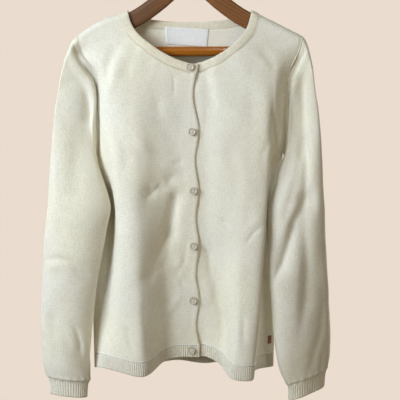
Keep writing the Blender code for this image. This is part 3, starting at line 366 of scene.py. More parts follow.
class Panel:
    """One knitted piece of the body: its section table, its side and its folds."""

    def __init__(self, rows, side, facing, hem_lift=None, lap=0.0, folds=()):
        self.sheet = section_sheet(rows, hem_lift)
        self.side = side          # -1: the right front, 1: the left front, 0: the back
        self.facing = facing      # -1: hangs in front of the hanger, 1: behind it
        self.lap = lap
        self.folds = folds

    def hang(self, across, height):
        """Place in space of points of the flat cut."""
        across = np.asarray(across, float)
        height = np.asarray(height, float)
        below = shoulder_height(across) - height
        level = height + ROLL_TAKEN
        part = across / edge_half(np.minimum(height, TIP_Z))
        if self.side == 0:
            part = (part + 1) / 2
        place = read_sheet(self.sheet, part, level)
        x, y, lift = place[..., 0], place[..., 1], place[..., 2]
        y = y + self.lap * (1 - ease((np.abs(across) - LAP_FLAT) / LAP_FADE))
        y = y - self.facing * press_folds(across, height, self.folds)
        quarter = SHOULDER_ROLL * math.pi / 2
        angle = np.clip(below, 0, quarter) / SHOULDER_ROLL
        rolled = self.facing * SHOULDER_ROLL * np.sin(angle)
        free = ease((below - quarter) / HANG_FADE)
        y = rolled * (1 - free) + y * free
        seated = across if self.side == 0 else self.side * across
        x = seated * (1 - free) + x * free
        drop = SHOULDER_ROLL * (1 - np.cos(angle)) + np.maximum(below - quarter, 0)
        z = shoulder_height(across) - drop + lift
        part = np.clip((-seated - NECK_SEAM_X) / (SHOULDER_X - NECK_SEAM_X), 0, 1)
        rise = np.sin(math.pi * part)
        z = z + RIGHT_SHOULDER_RISE * rise * (1 - ease(below / RISE_FADE))
        if self.side == -1:
            x = x + scallop(z) * (1 - ease((across + OVER_EDGE) / SCALLOP_FADE))
        return np.stack([x, y, z], axis=-1)


def scallop(height):
    """How far the front edge stands out: it bows out at each button, less at the neck."""
    stations = BUTTON_HEIGHTS[::-1]
    turns = np.interp(height, stations, np.arange(len(stations)))
    bay = np.clip(turns.astype(int), 0, len(BAY_DEPTHS) - 1)
    drawn = NECK_DRAW * ease((height - NECK_DRAW_FADE[0]) / NECK_DRAW_FADE[1])
    return SCALLOP - drawn - np.array(BAY_DEPTHS[::-1])[bay] * np.sin(math.pi * turns) ** 2


RIGHT = Panel(RIGHT_FRONT, -1, -1, RIGHT_HEM_LIFT, 0.0, RIGHT_FRONT_FOLDS)
LEFT = Panel(LEFT_FRONT, 1, -1, LEFT_HEM_LIFT, LAP, LEFT_FRONT_FOLDS)
REAR = Panel(BACK, 0, 1)

# ---------------------------------------------------------------- creases

# Creases of each piece, on its flat cut: points as (across, height), half width, depth.
# A positive depth is a trough and a negative one a ridge.
RIGHT_FRONT_CREASES = (
    (((76, -385), (64, -376), (55, -370), (34, -371)), 3.6, 0.8),
    (((70, -374), (56, -361), (38, -362)), 4.5, -0.5),
    (((60, -372), (49, -358)), 3.2, 0.5),
    (((68, -375), (38, -358)), 10.0, -1.8),
    (((25, -390), (29, -409), (33, -432), (36, -454)), 5.5, 0.9),
    (((34, -446), (39, -474), (46, -486), (60, -493), (73, -500)), 5.0, 1.0),
    (((44, -404), (50, -438), (58, -470)), 7.5, -0.9),
    (((50, -450), (56, -520), (58, -600)), 13.0, -1.8),
    (((8, -439), (14, -481), (27, -503)), 4.4, 1.0),
    (((36, -484), (23, -497), (12, -528)), 4.4, 0.8),
    (((22, -470), (18, -500), (20, -520)), 4.6, -0.5),
    (((124, -568), (114, -577), (109, -595), (105, -610)), 4.5, 1.7),
    (((100, -166), (116, -180), (130, -199), (136, -232)), 6.5, 3.4),
    (((112, -196), (124, -214), (128, -240)), 8.0, -1.4),
    (((134, -166), (108, -164)), 4.0, 0.9),
    (((30, -206), (29, -240)), 3.0, 0.7),
    (((96, -314), (94, -413), (99, -528)), 11.0, -1.3),
    (((120, -250), (110, -300), (112, -360)), 9.0, 1.2),
    (((146, -300), (150, -360), (140, -420)), 7.0, 1.6),
    (((84, -520), (86, -560), (80, -608)), 6.0, 1.2),
    (((14, -330), (36, -336)), 5.0, 0.8),
)
LEFT_FRONT_CREASES = (
    (((17, -195), (26, -230), (31, -262)), 7.0, 1.6),
    (((8, -212), (13, -250), (14, -290)), 6.0, -0.9),
    (((116, -420), (101, -432), (87, -450)), 3.4, 1.1),
    (((112, -408), (98, -418), (84, -432)), 5.0, -0.6),
    (((46, -412), (60, -423)), 3.5, 1.1),
    (((30, -481), (40, -548), (62, -618)), 8.0, 1.8),
    (((52, -470), (62, -540), (80, -600)), 9.0, -1.1),
    (((89, -541), (93, -592)), 5.0, 1.5),
    (((60, -300), (74, -350), (70, -400)), 12.0, 1.0),
    (((8, -440), (24, -470), (28, -520)), 5.0, 1.2),
    (((120, -240), (124, -300), (118, -350)), 7.0, 1.2),
    (((100, -170), (118, -186), (132, -206)), 6.0, 1.4),
)
BACK_CREASES = (
    (((-120, -390), (-90, -402), (-60, -398)), 5.0, 2.0),
    (((-60, -430), (-20, -446), (24, -440)), 6.0, 1.8),
    (((110, -400), (84, -420), (60, -424)), 5.0, 1.9),
    (((60, -470), (30, -486), (6, -482)), 5.0, 1.3),
    (((-104, -240), (-96, -300), (-104, -360)), 10.0, 1.4),
    (((98, -230), (90, -290), (98, -350)), 10.0, 1.3),
    (((-130, -200), (-112, -184), (-90, -176)), 6.0, 1.8),
    (((130, -200), (112, -186), (92, -178)), 6.0, 1.6),
    (((-30, -220), (-24, -300), (-34, -380)), 14.0, -1.2),
    (((-80, -540), (-76, -600)), 7.0, 1.4),
    (((44, -530), (40, -610)), 8.0, 1.4),
)
# Creases of the sleeves: points as (way round, height). The way round is 0 at the outer
# fold, 0.25 in front, 0.5 at the underarm and 0.75 behind.
RIGHT_SLEEVE_CREASES = (
    (((0.094, -179), (0.135, -205), (0.177, -231), (0.229, -256)), 5.0, 2.2),
    (((0.135, -242), (0.198, -325), (0.25, -408)), 9.0, 1.4),
    (((0.07, -300), (0.12, -380), (0.13, -450)), 8.0, -1.1),
    (((0.105, -352), (0.140, -345)), 3.5, 0.9),
    (((0.03, -470), (0.188, -465), (0.25, -469), (0.302, -482), (0.438, -496)), 4.0, 1.7),
    (((0.08, -478), (0.20, -476), (0.30, -494)), 5.0, -0.9),
    (((0.281, -558), (0.323, -572), (0.354, -589), (0.375, -612)), 4.0, 2.0),
    (((0.250, -566), (0.295, -584), (0.320, -606)), 5.0, -1.2),
    (((0.16, -520), (0.18, -590), (0.20, -636)), 8.0, 1.1),
    (((0.60, -300), (0.70, -330), (0.82, -340)), 6.0, 1.8),
    (((0.62, -430), (0.74, -452), (0.86, -450)), 6.0, 1.8),
    (((0.66, -540), (0.72, -600)), 7.0, 1.4),
)
LEFT_SLEEVE_CREASES = (
    (((0.083, -184), (0.146, -238), (0.208, -311), (0.24, -338)), 5.0, 1.8),
    (((0.24, -338), (0.281, -375), (0.333, -426)), 6.0, 1.8),
    (((0.12, -190), (0.19, -240), (0.25, -280)), 6.0, -1.5),
    (((0.167, -283), (0.188, -353), (0.198, -381)), 5.0, 2.0),
    (((0.198, -381), (0.271, -412), (0.312, -449), (0.354, -473), (0.48, -513)), 5.0, 3.0),
    (((0.215, -372), (0.295, -405), (0.345, -440)), 6.0, -1.5),
    (((0.198, -385), (0.219, -474), (0.25, -527), (0.312, -592)), 5.5, 2.0),
    (((0.25, -440), (0.28, -510), (0.34, -570)), 8.0, -1.2),
    (((0.146, -352), (0.146, -410)), 5.0, 1.2),
    (((0.135, -525), (0.167, -572), (0.281, -644)), 5.5, 1.8),
    (((0.167, -602), (0.177, -638)), 4.0, 1.2),
    (((0.10, -440), (0.09, -520), (0.12, -600)), 8.0, -1.0),
    (((0.60, -320), (0.72, -352), (0.84, -350)), 6.0, 1.9),
    (((0.62, -470), (0.74, -486), (0.86, -470)), 6.0, 1.8),
    (((0.70, -560), (0.66, -620)), 7.0, 1.4),
)


CREASE_ENDS = (0.35, 0.3)   # parts of a crease's length in which its ends fade
CREASE_LEFT = 0.15          # what is left of its depth there


def along_crease(across, height, points):
    """Distance from a crease's line, and how far along it from 0 to 1."""
    points = np.array(points, float)
    run = np.diff(points, axis=0)
    way = way_along(points)
    best = np.full(across.shape, np.inf)
    place = np.zeros(across.shape)
    for k, step in enumerate(run):
        dx, dz = across - points[k, 0], height - points[k, 1]
        t = np.clip((dx * step[0] + dz * step[1]) / (step @ step), 0, 1)
        far = np.hypot(dx - t * step[0], dz - t * step[1])
        nearer = far < best
        best = np.where(nearer, far, best)
        place = np.where(nearer, way[k] + t * (way[k + 1] - way[k]), place)
    return best, place / way[-1]


def crease_depth(across, height, creases, around=None):
    """Depth of a piece's creases, each fading at its ends. On a sleeve their points are
    (way round, height), and around is the distance once round it."""
    depth = np.zeros_like(across)
    for points, width, most in creases:
        scaled = [(x * (around or 1.0), z) for x, z in points]
        for turn in ((-around, 0.0, around) if around else (0.0,)):
            far, place = along_crease(across + turn, height, scaled)
            fade = between(place, 0.0, CREASE_ENDS[0], 1.0, CREASE_ENDS[1])
            depth += most * (CREASE_LEFT + (1 - CREASE_LEFT) * fade) * bell(far, width)
    return depth


# The cloth's own unevenness: how high its swells are, how far each leans, the least and the
# most width and length of one, and the area of cloth for each.
SWELL = 0.55
SWELL_LEAN = 0.35
SWELL_WIDE = (7, 20)
SWELL_LONG = (12, 40)
SWELL_AREA = 900


def unevenness(across, height, seed, region, around=None):
    """Small soft swells all over a piece, none like the next.

    region is (least across, least height, most across, most height).
    """
    made = np.random.default_rng(seed)
    area = (region[2] - region[0]) * (region[3] - region[1])
    depth = np.zeros_like(across)
    for _ in range(int(area / SWELL_AREA)):
        x, z = made.uniform(region[0], region[2]), made.uniform(region[1], region[3])
        wide, long = made.uniform(*SWELL_WIDE), made.uniform(*SWELL_LONG)
        lean, swell = made.normal(0, SWELL_LEAN), made.normal(0, SWELL)
        beside = across - x - lean * (height - z)
        if around:
            beside = (beside + around / 2) % around - around / 2
        depth += swell * bell(beside, wide) * bell(height - z, long)
    return depth


# ---------------------------------------------------------------- meshes

def surface_normals(points, closed=False):
    """Unit normals of a grid of points: across runs along axis 1, up along axis 0."""
    if closed:
        across = np.roll(points, -1, axis=1) - np.roll(points, 1, axis=1)
    else:
        across = np.gradient(points, axis=1)
    return unit(np.cross(across, np.gradient(points, axis=0)))


def add_piece(name, mesh):
    piece = bpy.data.objects.new(name, mesh)
    bpy.context.scene.collection.objects.link(piece)
    return piece


def belong(piece, node=None):
    """The piece rides with the rest, and may stand for a solid."""
    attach(piece, "root")
    if node:
        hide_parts(node)


def cloth_mesh(name, points, cut, outside, closed=False):
    """Mesh of a grid of points in mm, with the flat cut in metres as its UV map.

    outside is 1 where the grid's normals point out of the garment and -1 where they point
    in. cut holds one more column than points where the grid closes on itself.
    """
    rows, columns = points.shape[:2]
    last = columns if closed else columns - 1
    row, column = np.meshgrid(np.arange(rows - 1), np.arange(last), indexing="ij")
    ring = (column + 1) % columns
    corners = [(row, column), (row, ring), (row + 1, ring), (row + 1, column)]
    places = [(row, column), (row, column + 1), (row + 1, column + 1), (row + 1, column)]
    faces = np.stack([r * columns + c for r, c in corners], axis=-1).reshape(-1, 4)
    flat = np.stack([cut[r, c] for r, c in places], axis=-2).reshape(-1, 4, 2)
    if outside < 0:
        faces, flat = faces[:, ::-1], flat[:, ::-1]
    mesh = bpy.data.meshes.new(name)
    mesh.from_pydata([tuple(p) for p in points.reshape(-1, 3) * METRES], [], faces.tolist())
    uv = mesh.uv_layers.new(name="flat_cut")
    uv.data.foreach_set("uv", (flat * METRES).reshape(-1).astype(np.float32))
    mesh.shade_smooth()
    return add_piece(name, mesh)


def finish_cloth(piece, node):
    """Rides with the rest and replaces its solid."""
    belong(piece, node)


PANEL_WALL = 1.4            # wall of the shown panels and sleeves
RIB_WALL = 1.5


def sheet_piece(name, points, cut, outside, thick, finishes, closed=False):
    """Cloth with a wall either side of the grid, and a face and a back of their own."""
    piece = cloth_mesh(f"{name}_cloth", points, cut, outside, closed)
    for finish in finishes:
        piece.data.materials.append(finish)
    shell = piece.modifiers.new("wall", "SOLIDIFY")
    shell.thickness = thick * METRES
    shell.offset = 0.0
    shell.material_offset = len(finishes) - 1
    return piece


def knitted_piece(node, points, cut, outside, thick, finishes, closed=False):
    piece = sheet_piece(node, points, cut, outside, thick, finishes, closed)
    finish_cloth(piece, node)


# ---------------------------------------------------------------- grids of the flat cut

def fill_patch(bottom, top, left, right):
    """Flat grid between four edges; bottom and top run across, left and right run up."""
    s = np.linspace(0, 1, len(bottom))[None, :, None]
    t = np.linspace(0, 1, len(left))[:, None, None]
    ruled = (1 - t) * bottom[None] + t * top[None] + (1 - s) * left[:, None] + s * right[:, None]
    corners = ((1 - s) * (1 - t) * bottom[0] + s * (1 - t) * bottom[-1]
               + (1 - s) * t * top[0] + s * t * top[-1])
    return ruled - corners


# Distances from the shoulder at which the cloth has rows, so that it rolls over the arm.
ROLL_ROWS = (0.0, 1.3, 2.6, 4.0, 5.4, 6.8, 8.2, 9.6, 11.0, 12.6, 14.4, 16.6, 19.0, 22.0)


def roll_spaced(line, count):
    """Points of a line: close rows over the roll at its start, then even ones to its end."""
    way = way_along(line)
    far = np.linspace(ROLL_ROWS[-1], way[-1], count - len(ROLL_ROWS) + 1)
    return read_along(line, way, np.concatenate([ROLL_ROWS, far[1:]]))


def side_edge(count, sign=1):
    """Side seam and armhole from the bottom up, close together near the shoulder."""
    heights = np.linspace(TIP_Z, RIB_TOP_Z, 400)
    return roll_spaced(np.stack([sign * edge_half(heights), heights], axis=1), count)[::-1]


def neck_stations(line, count):
    """Points of a neck seam from the neck point on, close together near it."""
    return roll_spaced(np.stack(line(np.linspace(0, 1, 400)), axis=1), count)


def shoulder_edge(count):
    across = np.linspace(NECK_SEAM_X, SHOULDER_X, count)
    return np.stack([across, shoulder_height(across)], axis=1)


RIDGE_SHARE = 0.3           # part of a neck seam in which its band turns off the shoulder


def neck_inward(line):
    """Unit direction from each point of a neck seam to the free edge of its band."""
    run = unit(np.gradient(line, axis=0))
    normal = np.stack([run[:, 1], -run[:, 0]], axis=1)
    ridge = np.array([-1.0, SHOULDER_SLOPE]) / math.hypot(1.0, SHOULDER_SLOPE)
    near = ease(np.linspace(0, 1, len(line)) / RIDGE_SHARE)[:, None]
    return unit(ridge * (1 - near) + normal * near)


RELAX_ROUNDS = 60


def relaxed(cut):
    """Inner points of a flat grid, eased between their neighbours."""
    for _ in range(RELAX_ROUNDS):
        beside = cut[1:-1, :-2] + cut[1:-1, 2:]
        cut[1:-1, 1:-1] = (cut[:-2, 1:-1] + cut[2:, 1:-1] + beside) / 4
    return cut


def front_grid(start, columns, rows, neck_columns):
    """Flat grid of a front; start is how far it reaches past the button line."""
    neck = neck_stations(front_neckline, neck_columns)[::-1]
    neck_line = np.concatenate([[[-start, neck[0, 1]]], neck])
    top = np.concatenate([neck_line, shoulder_edge(columns - neck_columns + 1)[1:]])
    bottom = np.linspace((-start, RIB_TOP_Z), (edge_half(RIB_TOP_Z), RIB_TOP_Z), columns + 1)
    right = side_edge(rows + 1)
    rise = (right[:, 1] - RIB_TOP_Z) / (right[-1, 1] - RIB_TOP_Z)
    left = np.array([-start, RIB_TOP_Z]) * (1 - rise[:, None]) + top[0] * rise[:, None]
    return relaxed(fill_patch(bottom, top, left, right))


def back_grid(columns, rows, neck_columns):
    """Flat grid of the whole back; neck_columns is for half of the neck."""
    neck = neck_stations(back_neckline, neck_columns + 1)
    half = np.concatenate([shoulder_edge(columns // 2 - neck_columns + 1)[::-1], neck[1:]])
    top = np.concatenate([half, half[::-1][1:] * (-1, 1)]) * (-1, 1)
    reach = edge_half(RIB_TOP_Z)
    bottom = np.linspace((-reach, RIB_TOP_Z), (reach, RIB_TOP_Z), columns + 1)
    return fill_patch(bottom, top, side_edge(rows + 1, -1), side_edge(rows + 1, 1))


def from_end(cut, axis, end):
    """Distance along the grid's own lines from its first edge, or from its last one."""
    run = np.linalg.norm(np.diff(cut, axis=axis), axis=2)
    start = np.zeros_like(np.take(run, [0], axis=axis))
    way = np.concatenate([start, np.cumsum(run, axis=axis)], axis=axis)
    return np.take(way, [-1], axis=axis) - way if end else way


# ---------------------------------------------------------------- the body

SEAM_DIP = 1.2              # how far a sewn edge is drawn in
SEAM_REACH = 2.2
# How far the front of each armhole has sunk back between body and sleeve: (height, depth).
SUNK = {
    -1: ((-330, 0), (-300, 4.0), (-262, 9.0), (-225, 10.5), (-200, 9.0), (-184, 4.0),
         (-171, 6.0), (-157, 0.0), (-140, 0)),
    1: ((-330, 0), (-290, 2.0), (-240, 3.5), (-200, 3.0), (-172, 1.8), (-158, 0.0), (-140, 0)),
}
SUNK_BODY = 11.0            # how far the body slopes down to it
SUNK_SLEEVE = (8.0, 7.0)    # the sleeve's flat part beside it, and the width of its slope
# How far the sleeve stands up beyond, as a part of the depth, and the width of that ridge.
SUNK_RIDGE = (0.28, 7.0)

SHOULDER_DIP = 0.8          # how far the shoulder seams are drawn in
NECK_FURROW = (0.9, 2.4)    # how far, and how widely, the cloth is drawn in along the neck
EDGE_DIP = (0.7, 1.2)       # the same at a front's edge
EDGE_ROLL = (0.35, 4.0, 2.2)    # how high it stands beside that: height, middle, half width
HEM_LIP = (0.35, 2.2, 2.0)  # and over the top of the hem's ribs
JOIN_DIP = (0.15, 1.1)      # where cloth and ribs join: depth, half width
SHOULDER_CALM = (40.0, 0.2)     # length below the shoulder, and share of the swells at its top
EDGE_CALM = (-4.0, 30.0, 0.25)  # where that begins at a front's edge, its width and share

# Soft forms beside the fronts' seams: depth, distance of the middle from the seam, half
# width, and the heights between which they stand, each with the length of its fade.
FLANK_SUNK = (7.0, 36.0, 17.0, (RIB_TOP_Z - 6, 60, -352, 50))    # behind the right sleeve
FLANK_FULL = (7.5, 17.0, 12.0, (-342, 40, -178, 50))    # beside the left armhole
# How far the two fronts close up, and the heights between which they do.
LAP_CLOSES = (1.5, (RIB_TOP_Z + 3, 25, -206, 22))

# Body pieces: how each hangs, how far it reaches past the button line (the back: past the
# middle), its creases and its seed.
BODY = {
    "right_front": (RIGHT, OVER_EDGE, RIGHT_FRONT_CREASES, 11),
    "left_front": (LEFT, UNDER_EDGE, LEFT_FRONT_CREASES, 23),
    "back": (REAR, HEM_HALF, BACK_CREASES, 37),
}


def sunk(side, height):
    """How far the front of an armhole has sunk back at a height."""
    table = np.array(SUNK[side], float)
    return smooth(table[:, 0], table[:, 1], height)


def pressed(name, cut):
    """Hung points of a body piece, with creases and swells, and their outward normals."""
    panel, _, creases, seed = BODY[name]
    across, height = cut[..., 0], cut[..., 1]
    points = panel.hang(across, height)
    outward = surface_normals(points) * (1 if panel.side > 0 else -1)
    length, least = SHOULDER_CALM
    calm = ease((shoulder_height(across) - height) / length) * (1 - least) + least
    if panel.side:
        start, width, least = EDGE_CALM
        calm = calm * (least + (1 - least) * ease((across - start) / width))
    region = (-UNDER_EDGE if panel.side else -HEM_HALF, HEM_Z, HEM_HALF, NECK_SEAM_Z)
    depth = crease_depth(across, height, creases)
    depth += calm * unevenness(across, height, seed, region)
    return points - outward * depth[..., None], outward


def from_seams(panel, cut):
    """Distance from the side seams and armholes."""
    seam = from_end(cut, 1, True)
    return seam if panel.side else np.minimum(seam, from_end(cut, 1, False))


def sewn_dip(panel, cut):
    """How far a body piece is drawn in at its seams, less where it stands over its ribs."""
    across, height = cut[..., 0], cut[..., 1]
    up = height - RIB_TOP_Z
    beyond_neck = np.abs(across) > NECK_SEAM_X - 2
    dip = SEAM_DIP * bell(from_seams(panel, cut), SEAM_REACH)
    dip += SHOULDER_DIP * bell(shoulder_height(across) - height, SEAM_REACH) * beyond_neck
    join = JOIN_DIP[0] * bell(up, JOIN_DIP[1])
    return dip + join - HEM_LIP[0] * bell(up - HEM_LIP[1], HEM_LIP[2])


def soft_form(form, seam, height):
    most, middle, width, heights = form
    return most * between(height, *heights) * bell(seam - middle, width)


FRONT_GRID = (112, 236, 78)     # columns, rows, and the columns along the neck
BACK_GRID = (160, 190, 50)      # the last one for half of the neck


def build_front(name, knit):
    panel, start, _, _ = BODY[name]
    cut = front_grid(start, *FRONT_GRID)
    points, outward = pressed(name, cut)
    across, height = cut[..., 0], cut[..., 1]
    seam, edge = from_seams(panel, cut), across + start
    dip = sewn_dip(panel, cut)
    dip += EDGE_DIP[0] * bell(edge, EDGE_DIP[1])
    dip -= EDGE_ROLL[0] * bell(edge - EDGE_ROLL[1], EDGE_ROLL[2])
    neck = NECK_FURROW[0] * bell(from_end(cut, 0, True), NECK_FURROW[1])
    dip += neck * (across < NECK_SEAM_X)
    points = points - outward * dip[..., None]
    points[..., 1] += sunk(panel.side, points[..., 2]) * bell(seam, SUNK_BODY)
    if panel.side < 0:
        points[..., 1] += soft_form(FLANK_SUNK, seam, height)
    else:
        closer = 1 - ease((np.abs(across) - LAP_FLAT) / LAP_FADE)
        points[..., 1] -= LAP_CLOSES[0] * between(height, *LAP_CLOSES[1]) * closer
        points[..., 1] -= soft_form(FLANK_FULL, seam, height)
    knitted_piece(f"{name}_panel", points, cut, panel.side, PANEL_WALL, knit)


def build_back(knit):
    cut = back_grid(*BACK_GRID)
    points, outward = pressed("back", cut)
    points = points - outward * sewn_dip(REAR, cut)[..., None]
    knitted_piece("back_panel", points, cut, -1, PANEL_WALL, knit)


RIB_SAMPLES = 8             # points across one rib
RIB_RISE = 0.46
RIB_ENDS = (2.0, 1.5, 0.7)  # length of its fade above and below, and its share at the edge
RIB_SINK = (0.7, 1.8, 1.6)  # how far ribs are drawn in under the join: depth, middle, width
JOIN_RADIUS = 1.0           # the ridge of stitches over the hem's ribs, and how it stands out
JOIN_STANDS = 0.8


def rib_relief(turns, up, tall):
    """Ribs that die away at the join above and are a little softer at the free edge."""
    above, below, share = RIB_ENDS
    fade = ease((tall - up) / above) * (share + (1 - share) * ease(up / below))
    return RIB_RISE * np.cos(2 * math.pi * turns) * fade


def build_hem(name, knit, yarn):
    """Hem rib of a body piece, with the ridge of stitches that joins it on."""
    panel, start, _, _ = BODY[name]
    ribs = round((HEM_HALF + start) / RIB_PITCH)
    across = np.linspace(-start, HEM_HALF, ribs * RIB_SAMPLES + 1)
    cut = np.stack(np.meshgrid(across, np.linspace(HEM_Z, RIB_TOP_Z, 14)), axis=-1)
    points, outward = pressed(name, cut)
    first = 0.5 if panel.side else 0.0
    rise = rib_relief((cut[..., 0] + start) / RIB_PITCH + first, cut[..., 1] - HEM_Z, HEM_RIB)
    sink, under, width = RIB_SINK
    rise -= sink * bell(cut[..., 1] - RIB_TOP_Z + under, width)
    rise -= SEAM_DIP * bell(from_seams(panel, cut), SEAM_REACH)
    points = points + outward * rise[..., None]
    outside = 1 if panel.side > 0 else -1
    knitted_piece(f"{name}_hem_rib", points, cut, outside, RIB_WALL, knit)
    join = points[-1] + outward[-1] * JOIN_STANDS
    linked_seam(f"{name}_hem_rib_join", join, yarn, JOIN_RADIUS)


# ---------------------------------------------------------------- sleeves and cuffs

SLEEVES = {
    "right": (-1, RIGHT_SLEEVE, RIGHT_SLEEVE_FOLDS, RIGHT_SLEEVE_CREASES, 51),
    "left": (1, LEFT_SLEEVE, LEFT_SLEEVE_FOLDS, LEFT_SLEEVE_CREASES, 67),
}
SLEEVE_COLUMNS = 128
SLEEVE_ROWS = (92, 110)     # rows above the elbow bend and below it
SLEEVE_AROUND = 200.0       # distance round a sleeve in its table of creases
CAP_START = 1.15            # more draws the rows closer to the armhole
CAP_ARRIVES = 0.85          # how strongly the sleeve's cap runs into its rings
CAP_CALM = 30.0             # distance below the armhole in which the swells set in
CUFF_LIP = (0.5, 2.6, 1.6)  # how the sleeve stands over its cuff: height, middle, half width
CUFF_JOIN = (0.5, 1.1)      # and is drawn in where they join: depth, half width
GATHERS = (17, 0.35, 16.0)  # small folds over a cuff: how many, how deep and how far up
# How far the left sleeve swells towards the body under the arm, the way round and the
# height of its middle, each with its reach, and the distance below the seam of its fade.
UNDERARM_FULL = (4.0, 0.42, 0.12, -340, 17, 8)


def armhole(side, count):
    """Edge of the armhole, from the shoulder tip by the front to the underarm and back."""
    front = RIGHT if side < 0 else LEFT
    heights = np.linspace(TIP_Z, UNDERARM_Z, 300)
    edge = evenly(np.stack([edge_half(heights), heights], axis=1), count // 2 + 1)
    ahead = front.hang(edge[:, 0], edge[:, 1])
    behind = REAR.hang(side * edge[:, 0], edge[:, 1])
    for end in (0, -1):
        ahead[end] = behind[end] = (ahead[end] + behind[end]) / 2
    return np.concatenate([ahead[:-1], behind[::-1][:-1]])


def armhole_run(side, count):
    """Way in which a sleeve leaves the armhole, as a direction times its reach."""
    way = np.arange(count) / count
    table = np.array(SLEEVE_HEAD)
    read = smooth(table[:, 0], table[:, 1:], way)
    tip = np.clip(np.cos(2 * math.pi * way), 0, 1) ** 2
    reach = read[:, 3] * (1 - tip * (1 - TIP_REACH[side]))
    return unit(read[:, :3]) * (side, 1, 1) * reach[:, None]


def ring(side, row, count):
    """A slanted oval ring of a sleeve, from its outer fold by the front."""
    height, x, y, seen_half, half_depth, slope, twist = row
    around = 2 * math.pi * np.arange(count) / count
    c, s = math.cos(math.radians(twist)), side * math.sin(math.radians(twist))
    half_width = math.sqrt(seen_half**2 - (half_depth * s) ** 2) / c
    along = side * half_width * np.cos(around)
    ahead = -half_depth * np.sin(around)
    offset = along * c - ahead * s
    return np.stack([x + offset, y + along * s + ahead * c, height + slope * offset], axis=1)


def sleeve_points(side, rows, folds):
    """Grid of a sleeve: row 0 is the cuff seam, the last row the armhole."""
    table = np.array(rows, float)
    count, (cap_rows, arm_rows) = SLEEVE_COLUMNS, SLEEVE_ROWS
    start, leaving = armhole(side, count), armhole_run(side, count)
    upper, below = ring(side, table[0], count), ring(side, table[1], count)
    distance = np.linalg.norm(upper - start, axis=1, keepdims=True)
    arriving = unit(below - upper) * distance * CAP_ARRIVES
    cap = [hermite(t**CAP_START, start, leaving * distance, upper, arriving)
           for t in np.linspace(0, 1, cap_rows + 1)[:-1]]
    heights = np.linspace(table[0, 0], table[-1, 0], arm_rows + 1)
    read = smooth(-table[:, 0], table, -heights)
    points = np.array(cap + [ring(side, row, count) for row in read])[::-1]
    outward = surface_normals(points, True) * -side
    around = np.broadcast_to(np.arange(count) / count, points.shape[:2]) * SLEEVE_AROUND
    for (w0, z0), (w1, z1), width, most in folds:
        fold = (((w0 * SLEEVE_AROUND, z0), (w1 * SLEEVE_AROUND, z1), width, most),)
        points = points - outward * press_folds(around, points[..., 2], fold)[..., None]
    return points


def tube_cut(points, top_z):
    """Flat cut of a tube: its own width at each row, slit along the underarm."""
    loop = np.concatenate([points, points[:, :1]], axis=1)
    around = np.linalg.norm(np.diff(loop, axis=1), axis=2).sum(axis=1)
    rise = np.linalg.norm(np.diff(points, axis=0), axis=2).mean(axis=1)
    height = top_z - rise.sum() + np.concatenate([[0.0], np.cumsum(rise)])
    part = np.linspace(-0.5, 0.5, points.shape[1] + 1)
    return np.stack([around[:, None] * part, np.repeat(height[:, None], len(part), 1)], axis=-1)


def build_sleeve(name, knit):
    side, rows, folds, creases, seed = SLEEVES[name]
    points = sleeve_points(side, rows, folds)
    outward = surface_normals(points, True) * -side
    way = np.broadcast_to(np.arange(SLEEVE_COLUMNS) / SLEEVE_COLUMNS, points.shape[:2])
    around, height = way * SLEEVE_AROUND, points[..., 2]
    seam, up = from_end(points, 0, True), from_end(points, 0, False)
    depth = crease_depth(around, height, creases, SLEEVE_AROUND)
    region = (0.0, rows[-1][0], SLEEVE_AROUND, TIP_Z)
    depth += ease(seam / CAP_CALM) * unevenness(around, height, seed, region, SLEEVE_AROUND)
    depth += SEAM_DIP * bell(seam, SEAM_REACH) + CUFF_JOIN[0] * bell(up, CUFF_JOIN[1])
    depth -= CUFF_LIP[0] * bell(up - CUFF_LIP[1], CUFF_LIP[2])
    folds_round, fold_depth, fold_reach = GATHERS
    gathers = np.cos(2 * math.pi * folds_round * way + 0.4 * np.sin(around / 9.0))
    depth += fold_depth * gathers * (1 - ease(up / fold_reach))
    flat, slope = SUNK_SLEEVE
    stands, width = SUNK_RIDGE
    beside = 1 - ease((seam - flat) / slope) - stands * bell(seam - flat - slope - 4, width)
    sink = sunk(side, height) * ease(3 * np.sin(2 * math.pi * way)) * beside
    points = points - outward * depth[..., None]
    points[..., 1] += sink
    if side > 0:
        most, middle, width, level, reach, fade = UNDERARM_FULL
        inner = bell(way - middle, width) * ease(seam / fade)
        points[..., 0] -= most * inner * bell(points[..., 2] - level, reach)
    points = np.roll(points, SLEEVE_COLUMNS // 2, axis=1)
    cut = tube_cut(points, TIP_Z)
    knitted_piece(f"{name}_sleeve", points, cut, -side, PANEL_WALL, knit, closed=True)
    build_cuff(name, side, rows[-1], points[0], knit)


CUFF_WAVE = {-1: 0.5, 1: 0.9}
CUFF_SOFTER = 0.7           # the cuffs' ribs stand out less than the hem's
CUFF_JOINED = 0.22          # part of a cuff in which it takes over the sleeve's own outline


